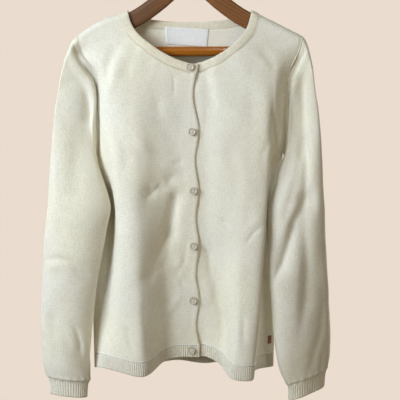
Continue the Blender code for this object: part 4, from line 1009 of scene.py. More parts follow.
def build_cuff(name, side, end_row, joined, knit):
    """Ribbed cuff that hangs from the sleeve's end, drawn in from it to a soft edge."""
    height, x, y, _, _, slope, twist = end_row
    columns = CUFF_RIBS * RIB_SAMPLES
    table = np.array(CUFF_RINGS)
    levels = np.linspace(1, 0, 16)
    read = smooth(table[:, 0], table[:, 1:], levels)
    points = np.array([
        ring(side, (height - CUFF_DEPTH * down, x, y, wide, deep, slope, twist), columns)
        for down, (wide, deep) in zip(levels, read)])
    start = evenly(np.concatenate([joined, joined[:1]]), columns + 1)[:-1]
    blend = (1 - ease(levels / CUFF_JOINED))[:, None, None]
    points = np.roll(points, columns // 2, axis=1) * (1 - blend) + start[None] * blend
    way = np.arange(columns) / columns
    up = (CUFF_DEPTH * (1 - levels))[:, None]
    wave = np.sin(2 * math.pi * (2 * way + 0.2)) + 0.5 * np.sin(10 * math.pi * way)
    rise = CUFF_SOFTER * rib_relief(way[None] * CUFF_RIBS, up, CUFF_DEPTH)
    rise = rise + CUFF_WAVE[side] * wave[None] * levels[:, None] ** 2
    cut = tube_cut(points, CUFF_DEPTH)
    points = points + surface_normals(points, True) * -side * rise[..., None]
    knitted_piece(f"{name}_cuff", points, cut, -side, RIB_WALL, knit, closed=True)


# ---------------------------------------------------------------- neckband

BAND_BULGE = 1.45           # half of the band's thickness
BAND_STARTS = -0.8          # how far it reaches behind the neck seam
BAND_CORNERS = (0.62, 0.85)     # 1 is an oval section; less makes it squarer, along and across
BAND_END = 1.3              # how far its closed ends bulge out
BAND_SECTION = 28           # points round the band


def band_part(panel, line, count, sign, end_past, levels):
    """Hung lines beside a neck seam, each a level's distance from it towards the neck."""
    fine = neck_stations(line, count)
    direction = neck_inward(fine)
    if end_past:
        steps = np.linspace(0, 1, 6)[1:, None]
        past = fine[-1] * (1 - steps) + np.array([-end_past, fine[-1, 1]]) * steps
        fine = np.concatenate([fine, past])
        direction = np.concatenate([direction, np.repeat(direction[-1:], 5, 0)])
    lines = [fine + direction * level for level in levels]
    return np.array([panel.hang(sign * flat[:, 0], flat[:, 1]) for flat in lines])


def build_neckband(band):
    """A flattened tube: right front end, right neck, back neck, left neck, left front end."""
    levels = np.linspace(BAND_STARTS, NECKBAND_WIDTH, 27)
    right = band_part(RIGHT, front_neckline, 90, 1, OVER_EDGE, levels)
    left = band_part(LEFT, front_neckline, 90, 1, UNDER_EDGE, levels)
    back_r, back_l = (band_part(REAR, back_neckline, 60, sign, 0.0, levels) for sign in (-1, 1))
    strip = np.concatenate([
        right[:, ::-1][:, :-1], back_r[:, :-1], back_l[:, ::-1], left[:, 1:]], axis=1)
    outward = -surface_normals(strip)
    angle = 2 * math.pi * np.arange(BAND_SECTION) / BAND_SECTION
    c, s = np.cos(angle), np.sin(angle)
    level = (0.5 + 0.5 * np.sign(c) * np.abs(c) ** BAND_CORNERS[0]) * (len(levels) - 1)
    off = BAND_BULGE * np.sign(s) * np.abs(s) ** BAND_CORNERS[1]
    row = np.clip(np.floor(level).astype(int), 0, len(levels) - 2)
    part = (level - row)[:, None, None]
    middle, normal = (grid[row] * (1 - part) + grid[row + 1] * part for grid in (strip, outward))
    tube = (middle + normal * off[:, None, None]).transpose(1, 0, 2)
    caps = []
    for end, inner in ((tube[0], tube[3]), (tube[-1], tube[-4])):
        centre = end.mean(axis=0)
        ahead = unit(centre - inner.mean(axis=0)) * BAND_END
        caps.append([centre + (end - centre) * math.cos(turn) + ahead * math.sin(turn)
                     for turn in np.radians((22, 45, 68, 88))])
    tube = np.concatenate([caps[0][::-1], tube, caps[1]])
    along = way_along(tube.mean(axis=1))
    width = 2 * (NECKBAND_WIDTH + 2 * BAND_BULGE)
    around = np.linspace(0, width, BAND_SECTION + 1)
    cut = np.stack(np.meshgrid(along, around, indexing="ij"), axis=-1)
    piece = cloth_mesh("neckband_cloth", tube, cut, 1, closed=True)
    piece.data.materials.append(band)
    finish_cloth(piece, "neckband")


# ---------------------------------------------------------------- seams and stitches

def tube_mesh(name, path, radii, sides, finish):
    """A thin round tube along a path in mm, as a piece of its own."""
    run = unit(np.gradient(path, axis=0))
    across = unit(np.cross(run, (0.13, 0.95, 0.27)))
    other = np.cross(run, across)
    angle = 2 * math.pi * np.arange(sides) / sides
    rings = (across[:, None] * np.cos(angle)[None, :, None]
             + other[:, None] * np.sin(angle)[None, :, None]) * radii[:, None, None]
    closed_ends = [path[:1, None] + rings[:1] * 0.05, path[-1:, None] + rings[-1:] * 0.05]
    tube = np.concatenate([closed_ends[0], path[:, None] + rings, closed_ends[1]])
    way = way_along(path)
    along = np.concatenate([[0.0], way, way[-1:]])
    around = np.linspace(0, 2 * math.pi * radii.mean(), sides + 1)
    cut = np.stack(np.meshgrid(along, around, indexing="ij"), axis=-1)
    piece = cloth_mesh(name, tube, cut, 1, closed=True)
    piece.data.materials.append(finish)
    belong(piece)


LINK_PITCH = 2.3            # one stitch of a linked seam
LINK_STEP = 0.55            # distance between the seam's rings
LINK_NECK = 0.72            # its thinnest, between two stitches, as a part of its radius


def linked_seam(name, path, finish, radius):
    """The chain of a linked seam: a cord that swells at every stitch."""
    length = way_along(path)[-1]
    fine = evenly(path, max(int(length / LINK_STEP), 8))
    way = np.linspace(0, length, len(fine))
    swell = np.abs(np.cos(math.pi * way / LINK_PITCH))
    radii = radius * (LINK_NECK + (1 - LINK_NECK) * swell)
    tube_mesh(name, fine, radii, 8, finish)


# Radii of the linked seams, and how the neck's lies: past the seam and in front of it.
ARMHOLE_SEAM, SIDE_SEAM, SHOULDER_SEAM, NECK_SEAM = 0.8, 1.0, 0.75, 0.5
NECK_SEAM_PLACE = (-1.4, 0.75)


def build_seams(yarn):
    for side, name, panel in ((-1, "right", RIGHT), (1, "left", LEFT)):
        hole = armhole(side, 360)
        hole[:180, 1] += sunk(side, hole[:180, 2])
        round_it = np.concatenate([hole, hole[:1]])
        linked_seam(f"{name}_armhole_seam", round_it, yarn, ARMHOLE_SEAM)
        heights = np.linspace(HEM_Z, UNDERARM_Z, 300)
        down = panel.hang(edge_half(heights), heights)
        linked_seam(f"{name}_side_seam", down, yarn, SIDE_SEAM)
        across = np.linspace(NECK_SEAM_X, SHOULDER_X, 60)
        over = panel.hang(across, shoulder_height(across))
        linked_seam(f"{name}_shoulder_seam", over, yarn, SHOULDER_SEAM)
    past, ahead = NECK_SEAM_PLACE
    for name, panel, end_past in (("right", RIGHT, OVER_EDGE), ("left", LEFT, UNDER_EDGE)):
        path = band_part(panel, front_neckline, 150, 1, end_past, (past,))[0]
        linked_seam(f"{name}_neck_seam", path - (0, ahead, 0), yarn, NECK_SEAM)
    right, left = (band_part(REAR, back_neckline, 150, sign, 0, (past,))[0] for sign in (-1, 1))
    linked_seam("back_neck_seam", np.concatenate([right, left[::-1][1:]]), yarn, NECK_SEAM)


# Fashioning marks: how far up the armhole they run, how far inside its seam they lie, how
# far they stand on the cloth, their lean and the half sizes of one.
MARK_RISES = (0.10, 0.17, 0.24, 0.31, 0.39, 0.48, 0.58, 0.69)
MARK_INSIDE = 8.0
MARK_STANDS = 0.75
MARK_LEAN = 0.9
MARK_SIZE = (1.5, 0.55, 0.8)
MARK_SIDES = 10


def build_marks(yarn):
    """Small slanted stitches where the armholes were narrowed on the machine."""
    turns = np.linspace(0, 2 * math.pi, MARK_SIDES + 1)[:-1]
    ball = np.array([(math.cos(a) * math.cos(b), math.sin(b), math.sin(a) * math.cos(b))
                     for b in np.linspace(-1.4, 1.4, 7) for a in turns]) * MARK_SIZE
    faces = []
    for low in range(0, len(ball) - MARK_SIDES, MARK_SIDES):
        for k in range(MARK_SIDES):
            n = (k + 1) % MARK_SIDES
            faces.append((low + k, low + n, low + MARK_SIDES + n, low + MARK_SIDES + k))
    for name, panel, sides in (("right", RIGHT, (1,)), ("left", LEFT, (1,)),
                               ("back", REAR, (-1, 1))):
        corners, all_faces = [], []
        for sign, rise in ((sign, rise) for sign in sides for rise in MARK_RISES):
            height = UNDERARM_Z + (TIP_Z - UNDERARM_Z) * rise
            across = float(edge_half(height)) - MARK_INSIDE
            spot, inner = panel.hang(sign * np.array([across, across - 1]), [height] * 2)
            lean = math.copysign(MARK_LEAN, inner[0] - spot[0])
            if panel.side:
                spot[1] += sunk(panel.side, spot[2:])[0] * bell(MARK_INSIDE, SUNK_BODY)
            c, s = math.cos(lean), math.sin(lean)
            shape = ball @ np.array([(c, 0, s), (0, 1, 0), (-s, 0, c)])
            shape += spot + (0, panel.facing * MARK_STANDS, 0)
            all_faces += [tuple(len(corners) + k for k in face) for face in faces]
            corners += [tuple(point) for point in shape * METRES]
        mesh = bpy.data.meshes.new(f"{name}_fashioning_marks")
        mesh.from_pydata(corners, [], all_faces)
        mesh.shade_smooth()
        mesh.materials.append(yarn)
        belong(add_piece(mesh.name, mesh))


# ---------------------------------------------------------------- label and tab

PATCH_STANDS = CLOTH / 2 + 1.2  # a patch's distance from the middle of the cloth
PATCH_ENDS = (0.6, 0.8)     # how far its two ends are drawn in, and how widely
LABEL = {"centre": (-4.0, -154.5), "size": (62.0, 24.5), "thick": 0.5, "wave": 0.35,
         "tilt": 0.06}
TAB = {"centre": (178.0, -598.0), "size": (9.0, 12.0), "thick": 0.7, "wave": 0.0, "tilt": 0.0}
LABEL_STITCHES = {"right": 3, "left": 60}   # columns of the label's grid that they follow


def build_patch(name, panel, finish, slot, centre, size, thick, wave, tilt):
    """A woven patch on a panel, with half a millimetre of each end turned under."""
    across = np.linspace(-size[0] / 2, size[0] / 2, 64)
    heights = np.linspace(-size[1] / 2, size[1] / 2, 26)
    cut = np.stack(np.meshgrid(across, heights), axis=-1)
    points = panel.hang(cut[..., 0] + centre[0] + cut[..., 1] * tilt,
                        cut[..., 1] + centre[1] - cut[..., 0] * tilt)
    lift = PATCH_STANDS + wave * np.sin(across / 9.0)[None] * (0.5 - heights[:, None] / size[1])
    lift = lift - PATCH_ENDS[0] * bell(np.abs(cut[..., 0]) - size[0] / 2, PATCH_ENDS[1])
    points = points + surface_normals(points) * lift[..., None]
    piece = sheet_piece(name, points, cut, 1, thick, (finish,))
    finish_cloth(piece, name)
    return points


def build_patches(label, tab, thread):
    points = build_patch("neck_label", REAR, label, "label", **LABEL)
    for side, column in LABEL_STITCHES.items():
        path = evenly(points[1:-1, column], 60) + (0, -0.35, 0)
        way = np.linspace(0, 10 * math.pi, len(path))
        radii = 0.22 * (0.25 + 0.75 * np.abs(np.sin(way)))
        tube_mesh(f"label_stitches_{side}", path, radii, 6, thread)
    build_patch("side_tab", LEFT, tab, "tab", **TAB)


# ---------------------------------------------------------------- hard pieces

def start_fresh():
    """Object mode with nothing selected, so that an operator acts on its own piece only."""
    if bpy.context.mode != "OBJECT":
        bpy.ops.object.mode_set(mode="OBJECT")
    bpy.ops.object.select_all(action="DESELECT")


def add_cylinder(radius, depth, sides, turn=(0, 0, 0), centre=(0, 0, 0)):
    """Cylinder with its sizes and centre in mm."""
    start_fresh()
    bpy.ops.mesh.primitive_cylinder_add(
        vertices=sides, radius=radius * METRES, depth=depth * METRES, rotation=turn,
        location=[part * METRES for part in centre])
    return bpy.context.object


def add_ring(major, minor, around, turn=(0, 0, 0), centre=(0, 0, 0)):
    """Ring of yarn or thread with its sizes and centre in mm."""
    start_fresh()
    bpy.ops.mesh.primitive_torus_add(
        major_radius=major * METRES, minor_radius=minor * METRES, major_segments=around,
        minor_segments=10, rotation=turn, location=[part * METRES for part in centre])
    return bpy.context.object


def apply_place():
    bpy.ops.object.transform_apply(location=True, rotation=True, scale=True)


def shape_faces(axis, sign, tolerance=0.02):
    """Edit mode, with the faces that look along an axis selected."""
    bpy.ops.object.mode_set(mode="EDIT")
    bpy.ops.mesh.select_mode(type="FACE")
    bpy.ops.mesh.select_all(action="DESELECT")
    bpy.ops.object.mode_set(mode="OBJECT")
    for face in bpy.context.object.data.polygons:
        face.select = face.normal[axis] * sign > 1 - tolerance
    bpy.ops.object.mode_set(mode="EDIT")


def inset(width):
    bpy.ops.mesh.inset(thickness=width * METRES, depth=0)


def extrude(x, y, z):
    bpy.ops.mesh.extrude_region_move(
        TRANSFORM_OT_translate={"value": (x * METRES, y * METRES, z * METRES)})


def shift(x, y, z):
    bpy.ops.transform.translate(value=(x * METRES, y * METRES, z * METRES))


def apply_all(piece):
    bpy.context.view_layer.objects.active = piece
    for modifier in list(piece.modifiers):
        bpy.ops.object.modifier_apply(modifier=modifier.name)


def soften(piece, width, segments, angle):
    """Rounds the edges that are sharper than an angle."""
    bpy.ops.object.mode_set(mode="OBJECT")
    bevel = piece.modifiers.new("soften", "BEVEL")
    bevel.width = width * METRES
    bevel.segments = segments
    bevel.angle_limit = math.radians(angle)
    apply_all(piece)


def polish(piece, angle, finish):
    """Smooth shading up to an angle, and one finish all over."""
    start_fresh()
    piece.select_set(True)
    bpy.context.view_layer.objects.active = piece
    bpy.ops.object.shade_smooth_by_angle(angle=math.radians(angle))
    piece.data.materials.clear()
    piece.data.materials.append(finish)


FORWARD = (math.radians(90), 0, 0)  # turns an upright piece to face the front
BUTTON_RIM = 1.15           # width of the raised rim
BUTTON_DISH = (0.55, 0.90)  # how far the dish lies below it, and how its wall draws in
BUTTON_FLOOR = (1.0, 0.15)  # width of the dish's own border, and how far the rest lies below
BUTTON_BACK = (0.9, 0.25)   # the same of the button's back
BUTTON_ROUND = 0.42         # radius of its edges
BUTTON_HOLE = 0.6           # radius of a sewing hole
HOLE_SPREAD = 1.35          # each hole's distance from the middle, across and up


def model_button(pearl):
    """Button at the origin, facing -Y: a raised rim, a dished middle and four holes."""
    button = add_cylinder(BUTTON_ACROSS / 2, BUTTON_THICK, 56, FORWARD)
    apply_place()
    shape_faces(1, -1)
    inset(BUTTON_RIM)
    depth, taper = BUTTON_DISH
    extrude(0, depth, 0)
    bpy.ops.transform.resize(value=(taper, 1, taper))
    inset(BUTTON_FLOOR[0])
    shift(0, BUTTON_FLOOR[1], 0)
    shape_faces(1, 1)
    inset(BUTTON_BACK[0])
    shift(0, -BUTTON_BACK[1], 0)
    soften(button, BUTTON_ROUND, 4, 35)
    cutters = [add_cylinder(BUTTON_HOLE, 8, 20, FORWARD, (x * HOLE_SPREAD, 0, z * HOLE_SPREAD))
               for x, z in ((-1, -1), (1, -1), (-1, 1), (1, 1))]
    for cutter in cutters:
        hole = button.modifiers.new("hole", "BOOLEAN")
        hole.operation = "DIFFERENCE"
        hole.object = cutter
        hole.solver = "EXACT"
    apply_all(button)
    for cutter in cutters:
        bpy.data.objects.remove(cutter, do_unlink=True)
    polish(button, 32, pearl)
    # Each point's distance from the middle, by which the pearl finish paints shade at the rim and
    # in the groove.
    reach = button.data.attributes.new("reach", "FLOAT", "POINT")
    half = BUTTON_ACROSS / 2 * METRES
    reach.data.foreach_set("value", [math.hypot(v.co.x, v.co.z) / half
                                     for v in button.data.vertices])
    return button


STITCH_RADIUS = 0.34        # of the thread, where it crosses the holes
STITCH_AHEAD = 0.55         # how far the two stitches' centres lie before the button's
SHANK_RADII = (1.2, 0.4)    # radius of the thread's turns round the shank, and of the thread
SHANK_TURNS = ((0.25, 0.0), (0.80, 0.06), (1.35, 0.12))     # place behind the button, lean


def model_thread(thread):
    """Two stitches that cross a button's holes and the shank behind it."""
    parts = [add_ring(HOLE_SPREAD, STITCH_RADIUS, 24,
                      centre=(0, -STITCH_AHEAD, up * HOLE_SPREAD)) for up in (-1, 1)]
    for behind, lean in SHANK_TURNS:
        place = (0, BUTTON_THICK / 2 + behind, 0)
        parts.append(add_ring(*SHANK_RADII, 24, (FORWARD[0], 0, lean), place))
    start_fresh()
    for part in parts:
        part.select_set(True)
    bpy.context.view_layer.objects.active = parts[0]
    bpy.ops.object.join()
    apply_place()
    polish(parts[0], 60, thread)
    return parts[0]


BUTTONHOLE_RADII = (1.25, 0.5)  # radius of a buttonhole's round ends, and of its yarn
BUTTONHOLE_REACH = 5.2      # half length of its straight sides
BUTTONHOLE_DEPTH = 0.2      # how far its middle lies behind the face of the cloth


def model_buttonhole(thread):
    """Worked buttonhole: a long ring of overcast yarn, sewn along its slit."""
    hole = add_ring(*BUTTONHOLE_RADII, 72, FORWARD)
    apply_place()
    for corner in hole.data.vertices:
        share = min(1, abs(corner.co.x) / METRES)
        corner.co.x += math.copysign(BUTTONHOLE_REACH * METRES, corner.co.x) * share
    polish(hole, 60, thread)
    return hole


def place_copy(source, name, centre, node=None):
    """Copy of a piece with its own mesh, moved by its vertices so that it stays unrotated."""
    mesh = source.data.copy()
    mesh.name = name
    mesh.transform(Matrix.Translation(centre))
    belong(add_piece(name, mesh), node)


def build_buttons(pearl, thread, yarn):
    button, stitches, hole = model_button(pearl), model_thread(thread), model_buttonhole(yarn)
    for k in range(1, len(BUTTON_HEIGHTS) + 1):
        low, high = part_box(f"button_{k}")
        centre = (low + high) / 2
        place_copy(button, f"pearl_button_{k}", centre, f"button_{k}")
        place_copy(stitches, f"button_thread_{k}", centre)
        behind = high.y + (BUTTON_STANDS + BUTTONHOLE_DEPTH) * METRES
        place_copy(hole, f"buttonhole_{k}", Vector((centre.x, behind, centre.z)))
    for source in (button, stitches, hole):
        bpy.data.objects.remove(source, do_unlink=True)


BAR_END = (1.4, 0.4)        # width of each end's border, and how far the rest stands out
BAR_ROUND = 1.0             # radius of its edges


def build_bar(varnish):
    """The round bar, with its ends rounded over before they enter the arms."""
    low, high = (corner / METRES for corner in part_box("hanger_bar"))
    turn = (0, math.radians(90), 0)
    bar = add_cylinder((high.z - low.z) / 2, high.x - low.x, 72, turn, (low + high) / 2)
    bar.name = "turned_bar"
    apply_place()
    for sign in (-1, 1):
        shape_faces(0, sign)
        inset(BAR_END[0])
        shift(sign * BAR_END[1], 0, 0)
    soften(bar, BAR_ROUND, 4, 20)
    polish(bar, 40, varnish)
    belong(bar, "hanger_bar")


FERRULE = (4.2, 2.0)        # radius and height of its lower step
FERRULE_STEP = (1.1, 1.3, 0.86)     # the upper one: distance in from the edge, height, taper
FERRULE_MOUTH = (0.45, 0.5)     # width of its top border, and how far the rest lies below
FERRULE_ROUND = 0.35        # radius of its edges


def build_ferrule(steel):
    """The small collar through which the hook's shank enters the wood."""
    radius, tall = FERRULE
    collar = add_cylinder(radius, tall, 48, centre=(0, 0, ARM_TOP_Z + tall / 2))
    collar.name = "hook_ferrule"
    apply_place()
    shape_faces(2, 1)
    within, height, taper = FERRULE_STEP
    inset(within)
    extrude(0, 0, height)
    bpy.ops.transform.resize(value=(taper, taper, 1))
    inset(FERRULE_MOUTH[0])
    shift(0, 0, -FERRULE_MOUTH[1])
    soften(collar, FERRULE_ROUND, 3, 30)
    polish(collar, 35, steel)
    belong(collar)


# ---------------------------------------------------------------- materials

def is_socket(value):
    return isinstance(value, bpy.types.NodeSocket)


class Tree:
    """Short way to lay out nodes: inputs are given by name, as values or other outputs."""

    def __init__(self, nodes):
        self.nodes = nodes

    def join(self, output, node, name):
        self.nodes.links.new(output, node.inputs[name])

    def add(self, kind, inputs=None, **settings):
        node = self.nodes.nodes.new(kind if kind.startswith("NodeGroup") else f"ShaderNode{kind}")
        for key, value in settings.items():
            setattr(node, key, value)
        for key, value in (inputs or {}).items():
            if is_socket(value):
                self.join(value, node, key)
            else:
                node.inputs[key].default_value = value
        return node

    def math(self, operation, a, b=0.0):
        return self.add("Math", {0: a, 1: b}, operation=operation).outputs[0]

    def times(self, a, b):
        return self.math("MULTIPLY", a, b)

    def less(self, a, b):
        return self.math("SUBTRACT", a, b)

    def weigh(self, *pairs):
        """Sum of patterns, each times its share."""
        total = self.times(*pairs[0])
        for pattern, share in pairs[1:]:
            total = self.math("ADD", total, self.times(pattern, share))
        return total

    def mix(self, factor, a, b):
        inputs = {"Factor": factor}
        for key, value in ((6, a), (7, b)):
            inputs[key] = value if is_socket(value) else (*value, 1.0)
        return self.add("Mix", inputs, data_type="RGBA").outputs[2]

    def noise(self, place, scale, detail=3.0, rough=0.5):
        inputs = {"Vector": place, "Scale": scale, "Detail": detail, "Roughness": rough}
        return self.add("TexNoise", inputs).outputs[0]

    def stretch(self, place, scale):
        return self.add("Mapping", {0: place, "Scale": scale}).outputs[0]

    def apart(self, place):
        return self.add("SeparateXYZ", {0: place}).outputs

    def ramp(self, value, start, end, low=0.0, high=1.0):
        """From low to high while the value goes from start to end."""
        inputs = {"Value": value, "From Min": start, "From Max": end, "To Min": low,
                  "To Max": high}
        return self.add("MapRange", inputs).outputs[0]

    def place(self):
        return self.add("TexCoord").outputs["Object"]

    def flat_cut(self):
        return self.add("UVMap", uv_map="flat_cut").outputs[0]

    def choose(self, factor, first, second):
        """One shader or another."""
        node = self.add("MixShader", {0: factor})
        for k, shader in ((1, first), (2, second)):
            self.join(shader, node, k)
        return node.outputs[0]

    def to_camera(self, lit, seen):
        """A shader for all light, and another one for what the camera sees of it."""
        return self.choose(self.add("LightPath").outputs["Is Camera Ray"], lit, seen)

    def end(self, shader):
        output = next(node for node in self.nodes.nodes if node.type.startswith("OUTPUT"))
        self.join(shader, output, "Surface")

    def group(self, made, **inputs):
        return self.add("Group", inputs, node_tree=made).outputs


def new_group(name, inputs, outputs):
    """Node group with named sockets; returns its tree helper, its input and output nodes."""
    made = bpy.data.node_groups.new(name, "ShaderNodeTree")
    for label, kind, value in inputs:
        socket = made.interface.new_socket(
            name=label, in_out="INPUT", socket_type=f"NodeSocket{kind}")
        if value is not None:
            socket.default_value = value
    for label in outputs:
        made.interface.new_socket(name=label, in_out="OUTPUT", socket_type="NodeSocketFloat")
    tree = Tree(made)
    return tree, tree.add("NodeGroupInput").outputs, tree.add("NodeGroupOutput")


WALE, COURSE = 0.0016, 0.00118  # width and height of a stitch, in metres
WEAVE = (0.0009, 0.0005)    # pitch of a woven piece's floats and ties, in metres


def knit_group():
    """Height of fine stockinette, and painted shade that darkens the low places between its legs:
    each stitch is a pair of slanted legs.
    """
    tree, given, result = new_group(
        "stockinette",
        (("Cut", "Vector", None), ("Wale", "Float", WALE), ("Course", "Float", COURSE),
         ("Slant", "Float", 0.9)),
        ("Height", "Painted Shade"))
    cut = given["Cut"]
    wander = tree.noise(cut, 90.0, 2.0)
    x, y, _ = tree.apart(cut)
    up = tree.math("ADD", tree.math("DIVIDE", y, given["Course"]), tree.times(wander, 0.8))
    across = tree.math("ADD", tree.math("DIVIDE", x, given["Wale"]), tree.times(wander, 0.35))
    inside = tree.math("ABSOLUTE", tree.less(tree.math("FRACT", across), 0.5))
    leg = tree.math("POWER", tree.math("SINE", tree.times(inside, 2 * math.pi)), 0.6)
    slope = tree.times(inside, tree.times(given["Slant"], 2.0))
    phase = tree.times(tree.less(up, slope), 2 * math.pi)
    loop = tree.math("ADD", tree.times(tree.math("COSINE", phase), 0.30), 0.70)
    stitch = tree.times(leg, loop)
    fluff = tree.noise(cut, 2600.0, 4.0, 0.65)
    lumps = tree.noise(cut, 520.0, 3.0, 0.6)
    tree.join(tree.weigh((stitch, 0.8), (fluff, 0.35), (lumps, 1.3)), result, "Height")
    # Painted shade: the stitch's own height darkens its colour in the valleys, where shade falls.
    tree.join(stitch, result, "Painted Shade")
    return tree.nodes


def grain_group():
    """Wood grain along X: growth lines, long pores and broad patches."""
    tree, given, result = new_group(
        "wood_grain", (("Place", "Vector", None),), ("Lines", "Pores", "Patches"))
    place = given["Place"]
    long = tree.stretch(place, (3.0, 60.0, 60.0))
    warp = tree.noise(long, 0.6, 2.0)
    wave = tree.add("TexWave", {"Vector": long, "Scale": 1.1, "Distortion": 5.0, "Detail": 3.0,
                                "Detail Scale": 1.2}, bands_direction="Z").outputs[1]
    tree.join(tree.weigh((wave, 0.7), (warp, 0.3)), result, "Lines")
    fine = tree.stretch(place, (40.0, 1400.0, 1400.0))
    tree.join(tree.noise(fine, 1.0, 3.0, 0.6), result, "Pores")
    tree.join(tree.noise(place, 22.0, 3.0), result, "Patches")
    return tree.nodes


def material(name, **constants):
    """New material with its own Principled node, whose constants are set by socket name."""
    made = bpy.data.materials.new(name)
    made.use_nodes = True
    shader = made.node_tree.nodes["Principled BSDF"]
    for key, value in constants.items():
        shader.inputs[key.replace("_", " ")].default_value = value
    return made, Tree(made.node_tree), shader


def feed(tree, shader, colour, rough=None, relief=None):
    """Wires a finish: its colour, its roughness as a pattern with its least value and its
    spread, and its relief as a height with the bump's strength and distance."""
    tree.join(colour, shader, "Base Color")
    if rough:
        pattern, least, spread = rough
        tree.join(tree.math("ADD", least, tree.times(pattern, spread)), shader, "Roughness")
    if relief:
        height, strength, distance = relief
        bump = tree.add("Bump", {"Strength": strength, "Distance": distance, "Height": height})
        tree.join(bump.outputs[0], shader, "Normal")


WARMER = (1.03, 1.01, 0.92)  # the yellower patches of the cloth against the others
# Uneven tone of the yarn: scale along and across the flat cut, and share.
YARN_TONES = (((640.0, 90.0, 1.0), 0.8), ((110.0, 620.0, 1.0), 0.6), ((560.0, 560.0, 1.0), 1.3))


def knit_material(name, stitches, light, deep, wale=WALE, bump=0.34, purl=False):
    """Fine wool knit. Its stitches follow the flat cut; the purl side shows short bars."""
    made, tree, shader = material(name, Specular_IOR_Level=0.22, Sheen_Weight=0.18,
                                  Sheen_Roughness=0.45)
    cut = tree.flat_cut()
    if purl:
        cut = tree.add("Mapping", {0: cut, "Rotation": (0, 0, math.pi / 2)}).outputs[0]
    knit = tree.group(stitches, Cut=cut, Wale=wale, Course=COURSE)
    place = tree.place()
    patches = tree.noise(place, 26.0, 4.0, 0.6)
    uneven = [(tree.less(tree.noise(tree.stretch(cut, scale), 1.0, 2.0), 0.5), share)
              for scale, share in YARN_TONES]
    # Low tone takes the deep colour: it mixes the stitches' painted shade with the yarn's random
    # tones and patches.
    tone = tree.weigh((knit["Painted Shade"], 0.55), *uneven, (patches, 0.5))
    broad = tree.ramp(tree.noise(place, 9.0, 2.0), 0.38, 0.62)
    warm = [part * more for part, more in zip(light, WARMER)]
    colour = tree.mix(tone, deep, tree.mix(broad, light, warm))
    feed(tree, shader, colour, (patches, 0.82, 0.2), (knit["Height"], bump, 0.0005))
    return made


ARM_SLOPE = (0.86, -0.51)    # direction of an arm, outwards and up
LEFT_ARM_PAINTED_SHADE = (-0.02, -0.06, 0.6)    # where the arm at -X takes painted shade with a greyish highlight, in x, and by how much


def sloping(tree, place):
    """Place turned so that its X runs down both arms."""
    x, y, z = tree.apart(place)
    out = tree.math("ABSOLUTE", x)
    down = tree.weigh((out, ARM_SLOPE[0]), (z, ARM_SLOPE[1]))
    over = tree.less(tree.times(z, ARM_SLOPE[0]), tree.times(out, ARM_SLOPE[1]))
    return tree.add("CombineXYZ", {0: down, 1: y, 2: over}).outputs[0]


def wood_material(name, grain, dark, light, roughness, coat, painted_grey=None):
    """Wood with its grain along X or, where a painted colour is given, down the hanger's arms,
    with painted shade and a greyish highlight over the arm at -X.
    """
    made, tree, shader = material(name, Coat_Weight=coat, Coat_Roughness=0.12)
    place = tree.place()
    wood = tree.group(grain, Place=sloping(tree, place) if painted_grey else place)
    colour = tree.mix(tree.weigh((wood["Lines"], 0.55), (wood["Patches"], 0.45)), dark, light)
    pores = tree.times(tree.math("GREATER_THAN", wood["Pores"], 0.62), 0.45)
    colour = tree.mix(pores, colour, [part * 0.35 for part in dark])
    # Painted shade with a greyish highlight over the arm at -X, by x.
    if painted_grey:
        start, end, most = LEFT_ARM_PAINTED_SHADE
        colour = tree.mix(tree.ramp(tree.apart(place)[0], start, end, 0.0, most), colour, painted_grey)
    feed(tree, shader, colour, (wood["Pores"], roughness - 0.06, 0.16),
         (wood["Pores"], 0.25, 0.0002))
    return made


def pearl_material():
    """Cloudy pearl, with painted shade at its outer rim and in the groove inside it."""
    made, tree, shader = material("pearl", Coat_Weight=0.15, Coat_Roughness=0.2)
    clouds = tree.noise(tree.stretch(tree.place(), (180.0, 60.0, 420.0)), 1.0, 4.0, 0.6)
    colour = tree.mix(clouds, (0.60, 0.54, 0.43), (0.82, 0.77, 0.66))
    reach = tree.add("Attribute", attribute_name="reach").outputs["Fac"]
    # Painted shade: the outer rim and the groove inside it are darkened towards brown, where
    # shade falls.
    rim = tree.ramp(reach, 0.88, 0.97, 0.0, 0.85)
    groove = tree.ramp(tree.math("ABSOLUTE", tree.less(reach, 0.66)), 0.02, 0.12, 0.75, 0.0)
    colour = tree.mix(tree.math("MAXIMUM", rim, groove), colour, (0.33, 0.24, 0.13))
    feed(tree, shader, colour, (clouds, 0.26, 0.2))
    return made


def woven_material(name, warp, weft, roughness):
    """Close satin weave: long floats one way and short ties the other."""
    made, tree, shader = material(name, Roughness=roughness, Sheen_Weight=0.12)
    cut = tree.flat_cut()
    over, along = (tree.math("SINE", tree.times(way, 2 * math.pi / pitch))
                   for way, pitch in zip(tree.apart(cut), WEAVE))
    height = tree.weigh((over, 0.3), (along, 0.5))
    tone = tree.math("ADD", tree.times(height, 0.25), tree.noise(cut, 160.0, 3.0))
    feed(tree, shader, tree.mix(tone, weft, warp), relief=(height, 0.3, 0.0003))
    return made


def steel_material():
    made, tree, shader = material("bright_steel", Metallic=1.0)
    wear = tree.noise(tree.place(), 320.0, 4.0, 0.6)
    colour = tree.mix(wear, (0.50, 0.49, 0.47), (0.72, 0.72, 0.72))
    feed(tree, shader, colour, (wear, 0.16, 0.2))
    return made


def thread_material(name, colour):
    made, tree, shader = material(name, Roughness=0.7, Sheen_Weight=0.2)
    fibres = tree.noise(tree.place(), 4200.0, 2.0)
    feed(tree, shader, tree.mix(fibres, [part * 0.8 for part in colour], colour))
    return made


def dress(node, finish):
    """Gives a shown CAD node its finish, without touching its shape."""
    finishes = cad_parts[node].data.materials
    if not finishes:
        finishes.append(None)
    for k in range(len(finishes)):
        finishes[k] = finish


# ---------------------------------------------------------------- stage, light and camera

BACKDROP = (0.823, 0.716, 0.617)    # what the camera sees behind the garment
FLOOR_SHOWN = (0.76, 0.66, 0.565)   # the floor as the camera sees it, and for all light
FLOOR_LIT = (0.72, 0.65, 0.58)
FLOOR_Z = -1.9
FLOOR_RADIUS = 3.4


